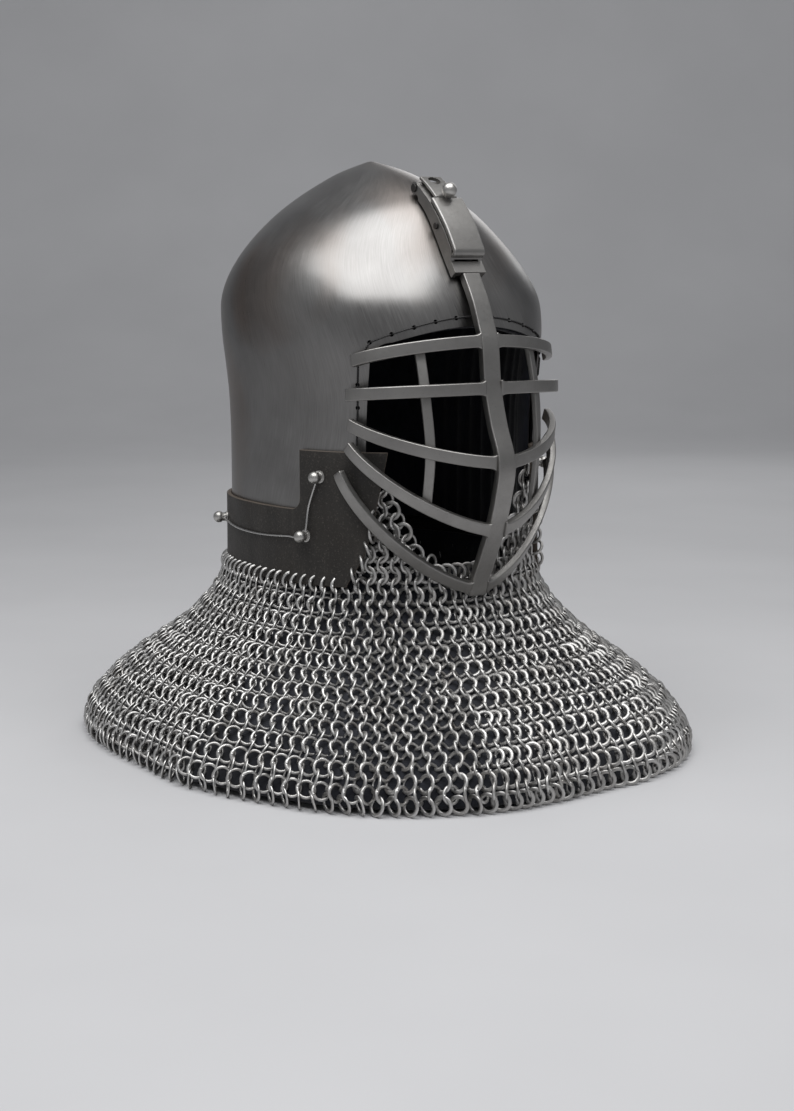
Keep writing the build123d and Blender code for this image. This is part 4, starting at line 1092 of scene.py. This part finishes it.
centre_shares = [(0.724, 0.000), (0.796, 0.083), (0.842, 0.158), (0.868, 0.205), (0.894, 0.348),
                 (0.938, 0.455), (1.000, 0.571), (0.974, 0.683), (0.925, 0.784), (0.808, 0.955),
                 (0.781, 1.000)]
centre_line = spline([(0, -centre_reach * a, centre_top - centre_drop * b) for a, b in centre_shares], 2.0)
slope = np.gradient(centre_line, axis=0)
centre_outs = np.stack([0 * slope[:, 0], slope[:, 2], -slope[:, 1]], 1)
centre = join("centre_bar_forged", strap(centre_line, centre_outs, centre_width, centre_thick, bar_round))
dress(centre, visor_steel, "visor", "visor_steel", "centre_bar")


def inner_bar(side):
    """Flat upright behind the upper four bars, where each of them reaches the given half width."""
    points, outs = [], []
    shares = np.linspace(0, 1, 2001)
    for bar in bars[:4]:
        xs = np.array([bar_point(bar, s)[0] for s in shares])
        share = float(shares[np.argmax(xs <= inner_half)])
        ahead = unit(bar_point(bar, share + 0.01) - bar_point(bar, share - 0.01))
        out = bar_out(bar, share)
        out = unit(out - ahead * (out @ ahead))
        points.append(bar_point(bar, share) - out * inner_behind)
        outs.append(unit(out * [1, 1, 0]))
    first = points[0] + unit(points[0] - points[1]) * inner_past
    last = points[-1] + unit(points[-1] - points[-2]) * inner_past
    line = spline([first] + points + [last], 2.0)
    outs = np.array([outs[0]] + outs + [outs[-1]])
    outs = columns_at(np.linspace(0, 1, len(line)), np.linspace(0, 1, len(outs)), outs)
    line[:, 0] *= side
    outs[:, 0] *= side
    return strap(line, outs, inner_width, inner_thick, bar_round)


for side, name in ((-1, "right"), (1, "left")):
    piece = join("inner_bar_%s_forged" % name, inner_bar(side))
    dress(piece, visor_steel, "visor", "visor_steel", "inner_bar_" + name)


# Hinge: the cover is built here, the other pieces are the CAD's with eased edges
hinge_shares = [(0.0, 0.0), (0.18, 0.105), (0.39, 0.26), (0.59, 0.45),
                (0.77, 0.655), (0.90, 0.84), (1.0, 1.0)]
hinge_points = [(0, hinge_y - hinge_reach * a, hinge_top - hinge_drop * b) for a, b in hinge_shares]
hinge_line = spline(hinge_points, 1.2)
hinge_run = run_along(hinge_line)
hinge_ahead = unit(np.gradient(hinge_line, axis=0))
hinge_outs = np.stack([0 * hinge_run, hinge_ahead[:, 2], -hinge_ahead[:, 1]], 1)

on_tongue = hinge_run <= tongue_length + 1.5
tongue_strap = strap(hinge_line[on_tongue], hinge_outs[on_tongue], tongue_width, tongue_thick, tongue_round)
tongue = join("cover_tongue", tongue_strap)
eye = int(np.argmin(np.abs(hinge_run - eye_along)))
eye_ends = [(hinge_line[eye] - hinge_outs[eye] * 6, hinge_line[eye] + hinge_outs[eye] * 4)]
cut(tongue, pegs("tongue_eye", eye_ends, tongue_eye, 32), solver="EXACT")
tongue.data.set_sharp_from_angle(angle=math.radians(50))
flat_faces(tongue)
dress(tongue, visor_steel, "visor", "visor_steel")

on_body = (hinge_run >= tongue_length) & (hinge_run <= hinge_run[-1] - curl_radius)
body_line, body_outs = list(hinge_line[on_body]), list(hinge_outs[on_body])
foot, foot_out, foot_ahead = body_line[-1], body_outs[-1], hinge_ahead[on_body][-1]
for degrees in range(12, 85, 12):
    turn = math.radians(degrees)
    away = foot_out * math.cos(turn) + foot_ahead * math.sin(turn)
    body_line.append(foot + (away - foot_out) * curl_radius)
    body_outs.append(away)
inward = foot_ahead * math.cos(turn) - foot_out * math.sin(turn)
body_line += [body_line[-1] + inward * lip_length * share for share in (0.5, 1.0)]
body_outs += [away, away]
cover = join("cover_plate_forged", strap(body_line, body_outs, cover_width, cover_thick, cover_round))
dress(cover, visor_steel, "visor", "visor_steel", "cover_plate")


def eased(node, mat, body, slot, width, angle):
    """A copy of a CAD node with its sharp edges rounded over."""
    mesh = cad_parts[node].data.copy()
    obj = bpy.data.objects.new(node + "_eased", mesh)
    scene.collection.objects.link(obj)
    work = bmesh.new()
    work.from_mesh(mesh)
    bmesh.ops.remove_doubles(work, verts=work.verts, dist=0.004 * MM)
    bmesh.ops.dissolve_limit(work, angle_limit=math.radians(0.6), verts=work.verts, edges=work.edges)
    work.to_mesh(mesh)
    work.free()
    smooth(obj)
    if "custom_normal" in mesh.attributes:
        mesh.attributes.remove(mesh.attributes["custom_normal"])
    change = obj.modifiers.new("ease", "BEVEL")
    change.width = width * MM
    change.segments = 2
    change.limit_method = "ANGLE"
    change.angle_limit = math.radians(angle)
    apply_modifiers(obj)
    obj.data.set_sharp_from_angle(angle=math.radians(60))
    flat_faces(obj)
    dress(obj, mat, body, slot, node)


# node, material, body, slot, width of the eased edges and the least angle between their faces
eased_nodes = [
    ("visor_arm", visor_steel, "visor", "visor_steel", 0.35, 32),
    ("hinge_base", visor_steel, "helmet", "visor_steel", 0.3, 32),
    ("hinge_base_rivets", stud_steel, "helmet", "stud_steel", 0.3, 32),
    ("hinge_pin", bolt_steel, "helmet", "stud_steel", 0.25, 32),
    ("ball_stud", stud_steel, "visor", "stud_steel", 0.2, 50),
    ("cross_bolt", bolt_steel, "visor", "bolt_steel", 0.25, 32),
]
for entry in eased_nodes:
    eased(*entry)

# Mail: the fall from the leather to the hem, as shares of the height and of the flare
skirt = [(0.000, 0.985), (0.070, 1.000), (0.172, 0.955), (0.258, 0.875), (0.352, 0.765), (0.445, 0.625),
         (0.531, 0.485), (0.625, 0.325), (0.727, 0.195), (0.836, 0.085), (0.930, 0.020), (1.000, 0.000)]
above_foot, fall_smoothing = 14.0, 4.0
fall_points = [(0.0, mail_height + above_foot)] + [(b * mail_flare, a * mail_height) for a, b in skirt[::-1]]
fall = gauss(resample(fall_points, 1.0), fall_smoothing)
fall_run = run_along(fall)
fall_zero = float(np.interp(-mail_height, -fall[:, 1], fall_run))
fold_depth, lobe_turn, lobe_half, lobe_reach = 10.0, -29.0, 24.0, 9.0


def mail_points(run, turn, inset):
    """Points of the draped mail: run is measured down from the leather's edge, turn from the front centre."""
    run = np.asarray(run, float) + fall_zero
    share = np.where(run < 0, 0.0, np.interp(run, fall_run, fall[:, 0]) / mail_flare)
    z = np.where(run < 0, fall[0, 1] - run, np.interp(run, fall_run, fall[:, 1]))
    angle = np.asarray(turn, float) - math.pi / 2
    ends = ((wall_wide + leather_out, hem_half_width),
            (wall_front + leather_out - front_tuck, hem_half_depth),
            (wall_back + leather_out, hem_half_depth))
    wide, front, back = [neck + share * (hem - neck) - inset for neck, hem in ends]
    fold = 0.65 * (np.cos(7 * angle + 0.6) - 1) / 2 + 0.35 * (np.cos(12 * angle + 2.1) - 1) / 2
    ease = 1 + fold * fold_depth * share * (1 - share / 2) / hem_half_width
    c, s = np.cos(angle), np.sin(angle)
    reach = oval_reach(c, s, wide, np.where(s > 0, back, front), wall_power) * ease
    from_lobe = (np.degrees(np.asarray(turn, float)) - lobe_turn + 180.0) % 360.0 - 180.0
    reach = reach + lobe_reach * share ** 2 * np.exp(-(from_lobe / lobe_half) ** 2)
    return np.stack([reach * c, reach * s, z + 0 * c], -1)


turns = np.linspace(0, 2 * math.pi, 1441)


def row_table(run, inset):
    """Perimeter of a row and its turns at even shares of it."""
    along = run_along(mail_points(np.full_like(turns, run), turns, inset))
    return along[-1], along / along[-1]


def mail_frame(run, turn, inset):
    """Places on the mail with their directions around, up and outward."""
    place = mail_points(run, turn, inset)
    around = unit(mail_points(run, turn + 0.004, inset) - mail_points(run, turn - 0.004, inset))
    up = mail_points(run - 1.0, turn, inset) - mail_points(run + 1.0, turn, inset)
    out = unit(np.cross(around, up))
    return place, around, np.cross(out, around), out


hem_run = float(np.interp(-hem_height, -fall[:, 1], fall_run)) - fall_zero
row_pitch = (hem_run - first_run) / (row_count - 1)
row_runs = np.linspace(first_run, hem_run, row_count)
first_turn = 0.004

ring_inset, inset_gain, grow_run, most_extra, evening, evening_passes = 1.5, 0.75, 60.0, 5, 0.58, 24
ring_rows = []
shares = np.arange(neck_rings) / neck_rings + first_turn
for k, run in enumerate(row_runs):
    inset = ring_inset + inset_gain * min(max(run, 0) / grow_run, 1)
    perimeter, table = row_table(run, inset)
    if k > 0:
        wanted = int(round(perimeter / (neck_pitch + hem_gain * max(run, 0) / hem_run)))
        extra = min(max(wanted - len(shares), 0), most_extra)
        mids = (shares + np.append(shares[1:], shares[0] + 1)) / 2
        starts = [(k * 0.618 + e / max(extra, 1) + 0.13) % 1 for e in range(extra)]
        spots = sorted({int(start * len(shares)) for start in starts})
        merged = []
        for j in range(len(shares)):
            if j in spots:
                merged.append(shares[j])
            merged.append(mids[j])
        start = np.array(merged)
        shares = start.copy()
        for _ in range(evening_passes):
            before = np.concatenate([[shares[-1] - 1], shares[:-1]])
            after = np.concatenate([shares[1:], [shares[0] + 1]])
            shares = (1 - evening) * start + evening * (before + after) / 2
    ring_rows.append((k, run, inset, shares, table))

rivet_head = ((0.90, 0.60), (0.72, 1.22), (0.05, 1.42))


def ring_shape(kind):
    """One ring in millimetres: x right, y up and z outward. Returns points, quads and rub marks, which are
    wear and painted highlight on the rims and outward faces and painted shade on the inward faces.
    """
    verts, faces, rub_and_highlight = [], [], []
    corners = 6
    around = 18 if kind == "flat" else 20
    flat_section = [(-flat_half, 0.0), (-flat_face, flat_thick), (flat_face, flat_thick),
                    (flat_half, 0.0), (flat_face, -flat_thick), (-flat_face, -flat_thick)]
    # rub marks, partly wear and partly painted highlight: highest on the rims, outward faces and rivet heads,
    # lowest on the inward faces as painted shade
    for k in range(around):
        turn = 2 * math.pi * k / around
        lap = max(0.0, 1 - abs(turn - math.pi) / 0.55) ** 0.7
        for j in range(corners):
            if kind == "flat":
                a, b = flat_section[j]
                rub_and_highlight.append(1.0 if abs(a) > flat_face else (0.45 if b > 0 else 0.1))
            else:
                angle = 2 * math.pi * (j + 0.5) / corners
                a, b = (ring_wire + 0.6 * lap) * math.cos(angle), (ring_wire - 0.2 * lap) * math.sin(angle)
                rub_and_highlight.append(0.8 if b > 0.6 else (0.5 if a > 0.3 else 0.1))
                b += 0.10 * lap
            verts.append(((ring_radius + a) * math.cos(turn), (ring_radius + a) * math.sin(turn), b))
    for k in range(around):
        n = (k + 1) % around
        for j in range(corners):
            m = (j + 1) % corners
            faces.append([k * corners + j, n * corners + j, n * corners + m, k * corners + m])
    for side in (1, -1) if kind == "riveted" else ():
        first = len(verts)
        for radius, height in rivet_head:
            for j in range(corners):
                angle = 2 * math.pi * j / corners
                x = radius * math.cos(angle) - ring_radius
                verts.append((x, radius * math.sin(angle), side * height + 0.1))
                rub_and_highlight.append(1.0)
        for a in (first, first + corners):
            for j in range(corners):
                m = (j + 1) % corners
                faces.append([a + j, a + m, a + corners + m, a + corners + j][::side])
    return np.array(verts), np.array(faces), np.array(rub_and_highlight)


shapes = {kind: ring_shape(kind) for kind in ("flat", "riveted")}


def ring_axes(around, up, out, kind, lean, jitter):
    """Right, up and outward directions of rings that lean about the upright."""
    sign = 1.0 if kind == "flat" else -1.0
    c, s = np.cos(lean)[:, None], np.sin(lean)[:, None] * sign
    x = around * c + out * s
    z = out * c - around * s
    y = up.copy()
    for spread_of, (a, b) in zip(jitter, ((y, z), (z, x), (x, y))):
        angle = rng.normal(0, spread_of, len(x))[:, None]
        a[:], b[:] = a * np.cos(angle) + b * np.sin(angle), b * np.cos(angle) - a * np.sin(angle)
    return x, y, z


groups, ring_floor = [], 0.15


def add_rings(kind, place, x, y, z, spin):
    """Keep rings of one kind for the pieces below, each turned in its own plane and with its own tone."""
    verts, faces, rub_and_highlight = shapes[kind]
    c, s = np.cos(spin)[:, None], np.sin(spin)[:, None]
    x, y = x * c + y * s, y * c - x * s
    local = np.stack([x, y, z], 1)
    points = np.einsum("vk,nkd->nvd", verts, local) + place[:, None, :]
    low = points[..., 2].min(1)
    points[..., 2] += np.maximum(ring_floor - low, 0)[:, None]
    tone = np.clip(rng.normal(0.5, 0.22, len(place)), 0, 1)
    groups.append((points, faces, np.tile(rub_and_highlight, (len(place), 1)), np.repeat(tone[:, None], len(verts), 1)))


row_lean, top_lean, bib_lean, edge_slant = [math.radians(angle) for angle in (45.0, 62.0, 27.0, 50.0)]
row_jitter, hem_jitter = (0.08, 0.09, 0.07), (0.16, 0.14, 0.1)
edge_jitter, bib_jitter = (0.25, 0.25, 0.15), (0.08, 0.08, 0.06)
row_spread, up_spread, lean_spread, spin_spread, side_spin, bib_spread = 0.18, 0.15, 0.06, 0.45, 0.5, 0.08
band_side, top_out, hole_behind, hole_drop = 80.0, 0.6, 0.7, 4.5
for k, run, inset, share, table in ring_rows:
    kind = "riveted" if k % 2 == 0 else "flat"
    turn = np.interp(share % 1.0, table, turns)
    count = len(turn)
    place, around, up, out = mail_frame(np.full_like(turn, run), turn, inset)
    lean = row_lean + rng.normal(0, lean_spread, count)
    place = place + around * rng.normal(0, row_spread, count)[:, None]
    place = place + up * rng.normal(0, up_spread, count)[:, None]
    if k == 0:
        in_leather = (np.abs(place[:, 0]) > band_side) | (place[:, 1] > 0)
        lean = np.where(in_leather, top_lean, lean)
        place = place + out * np.where(in_leather, top_out, 0.0)[:, None]
    jitter = hem_jitter if k >= row_count - 2 else row_jitter
    x, y, z = ring_axes(around, up, out, kind, lean, jitter)
    spin = rng.normal(0, spin_spread, count) if kind == "riveted" else rng.uniform(0, 6.28, count)
    add_rings(kind, place, x, y, z, spin)

# rings through the front edges of the leather
hole_heights = np.array([140.0, 149.0, 159.0, 170.0, 181.0])
for mirrored in (False, True):
    ends = []
    for rise in (-2.0, 0.0, 2.0):
        turn = np.array([leather_front(z) for z in hole_heights + rise])
        ends.append(wall_points(2 * math.pi - turn if mirrored else turn, hole_heights + rise, 2.0))
    below, place, above = ends
    edge = unit(above - below)
    around = unit(np.cross(np.array([0.0, 0.0, 1.0]), place * [1, 1, 0]))
    out = unit(np.cross(around, edge))
    ahead = np.cross(edge, out)
    ahead *= np.where(ahead[:, 1:2] > 0, -1.0, 1.0)
    place = place + ahead * hole_behind - edge * hole_drop
    hang = ahead * math.cos(edge_slant) - edge * math.sin(edge_slant)
    x, y, z = ring_axes(out, hang, np.cross(out, hang), "flat", np.zeros(len(place)), edge_jitter)
    add_rings("riveted", place, x, y, z, rng.normal(0, side_spin, len(place)))

# the bib that climbs inside the leather's front edges: half widths and how high it stands there
dip_x = np.array([0.0, 20.0, 36.0, 46.0, 54.0, 62.0, 71.0])
dip_z = np.array([139.0, 142.0, 152.0, 172.0, 192.0, 206.0, 216.0])
bib_low_half, bib_high_half, bib_change, bib_rows, bib_reach = 74.0, 69.5, 152.0, 11, 18
table = row_table(first_run, ring_inset)[1]
for k in range(1, bib_rows + 1):
    share = (np.arange(-bib_reach, bib_reach + 1) + (0.5 if k % 2 else 0.0)) / neck_rings + first_turn
    turn = np.interp(share % 1.0, table, turns)
    axes = mail_frame(np.full_like(turn, first_run - row_pitch * k), turn, ring_inset)
    place = axes[0]
    width = np.abs(place[:, 0])
    half = bib_low_half if place[0, 2] < bib_change else bib_high_half
    keep = (place[:, 2] + 2.5 < np.interp(width, dip_x, dip_z)) & (width < half) & (place[:, 1] < 0)
    if not keep.any():
        continue
    kind = "riveted" if k % 2 == 0 else "flat"
    place, around, up, out = [values[keep] for values in axes]
    lean = bib_lean + rng.normal(0, bib_spread, len(place))
    x, y, z = ring_axes(around, up, out, kind, lean, bib_jitter)
    add_rings(kind, place, x, y, z, rng.normal(0, side_spin, len(place)))

# pieces of at most so many triangles
pieces, budget, held = [], 180000, 0
for group in groups:
    size = group[1].shape[0] * 2 * len(group[0])
    if not pieces or held + size > budget:
        pieces.append([])
        held = 0
    pieces[-1].append(group)
    held += size
for number, batch in enumerate(pieces, start=1):
    verts, faces, rubs_and_highlights, tones, base = [], [], [], [], 0
    for points, quads, rub_and_highlight, tone in batch:
        count, size = points.shape[:2]
        verts.append(points.reshape(-1, 3))
        rubs_and_highlights.append(rub_and_highlight.ravel())
        tones.append(tone.ravel())
        starts = base + np.arange(count) * size
        faces.append((quads[None] + starts[:, None, None]).reshape(-1, 4))
        base += count * size
    piece = mesh_object("mail_rings_%d" % number, np.concatenate(verts), np.concatenate(faces))
    add_attribute(piece.data, "rub_and_highlight", "FLOAT", np.concatenate(rubs_and_highlights))
    add_attribute(piece.data, "tone", "FLOAT", np.concatenate(tones))
    dress(piece, rings_steel, "helmet", "mail_steel", *(["mail_aventail"] if number == 1 else []))


# Lining under the mail: a dark cloth that also paints the shade seen between the rings
lining_depths, lining_floor, lining_top, lining_step = (5.4, 7.6), 0.4, -11.0, 3.0
ripple_size, ripple_waves = 0.7, 24
def make_lining():
    """Two rippled layers under the rings, closed along both edges."""
    runs = np.arange(lining_top, hem_run + 4.5, lining_step)
    around = np.linspace(0, 2 * math.pi, 240, endpoint=False)
    layers = []
    for depth in lining_depths:
        rows = []
        for run in runs:
            grown = min(run / grow_run, 1)
            line = mail_points(np.full_like(around, run), around, depth - 1.0 * (1 - grown))
            ripple = ripple_size * np.sin(around * ripple_waves) * grown - 0.5
            line[:, :2] += unit(line[:, :2]) * ripple[:, None]
            rows.append(line)
        layers.append(np.array(rows))
        layers[-1][..., 2] = np.maximum(layers[-1][..., 2], lining_floor)
    rows, columns = layers[0].shape[:2]
    size = rows * columns
    index = np.arange(size).reshape(rows, columns)
    nexts = np.roll(index, -1, axis=1)
    quads = [np.stack([index[:-1], index[1:], nexts[1:], nexts[:-1]], -1).reshape(-1, 4)]
    quads.append(quads[0][:, ::-1] + size)
    quads.append(np.stack([index[0], nexts[0], nexts[0] + size, index[0] + size], -1))
    quads.append(np.stack([nexts[-1], index[-1], index[-1] + size, nexts[-1] + size], -1))
    verts = np.concatenate([layer.reshape(-1, 3) for layer in layers])
    return mesh_object("mail_shade_and_cloth_lining", verts, np.concatenate(quads))


lining = make_lining()
dress(lining, lining_cloth, "helmet", "lining_cloth", "mail_lining")
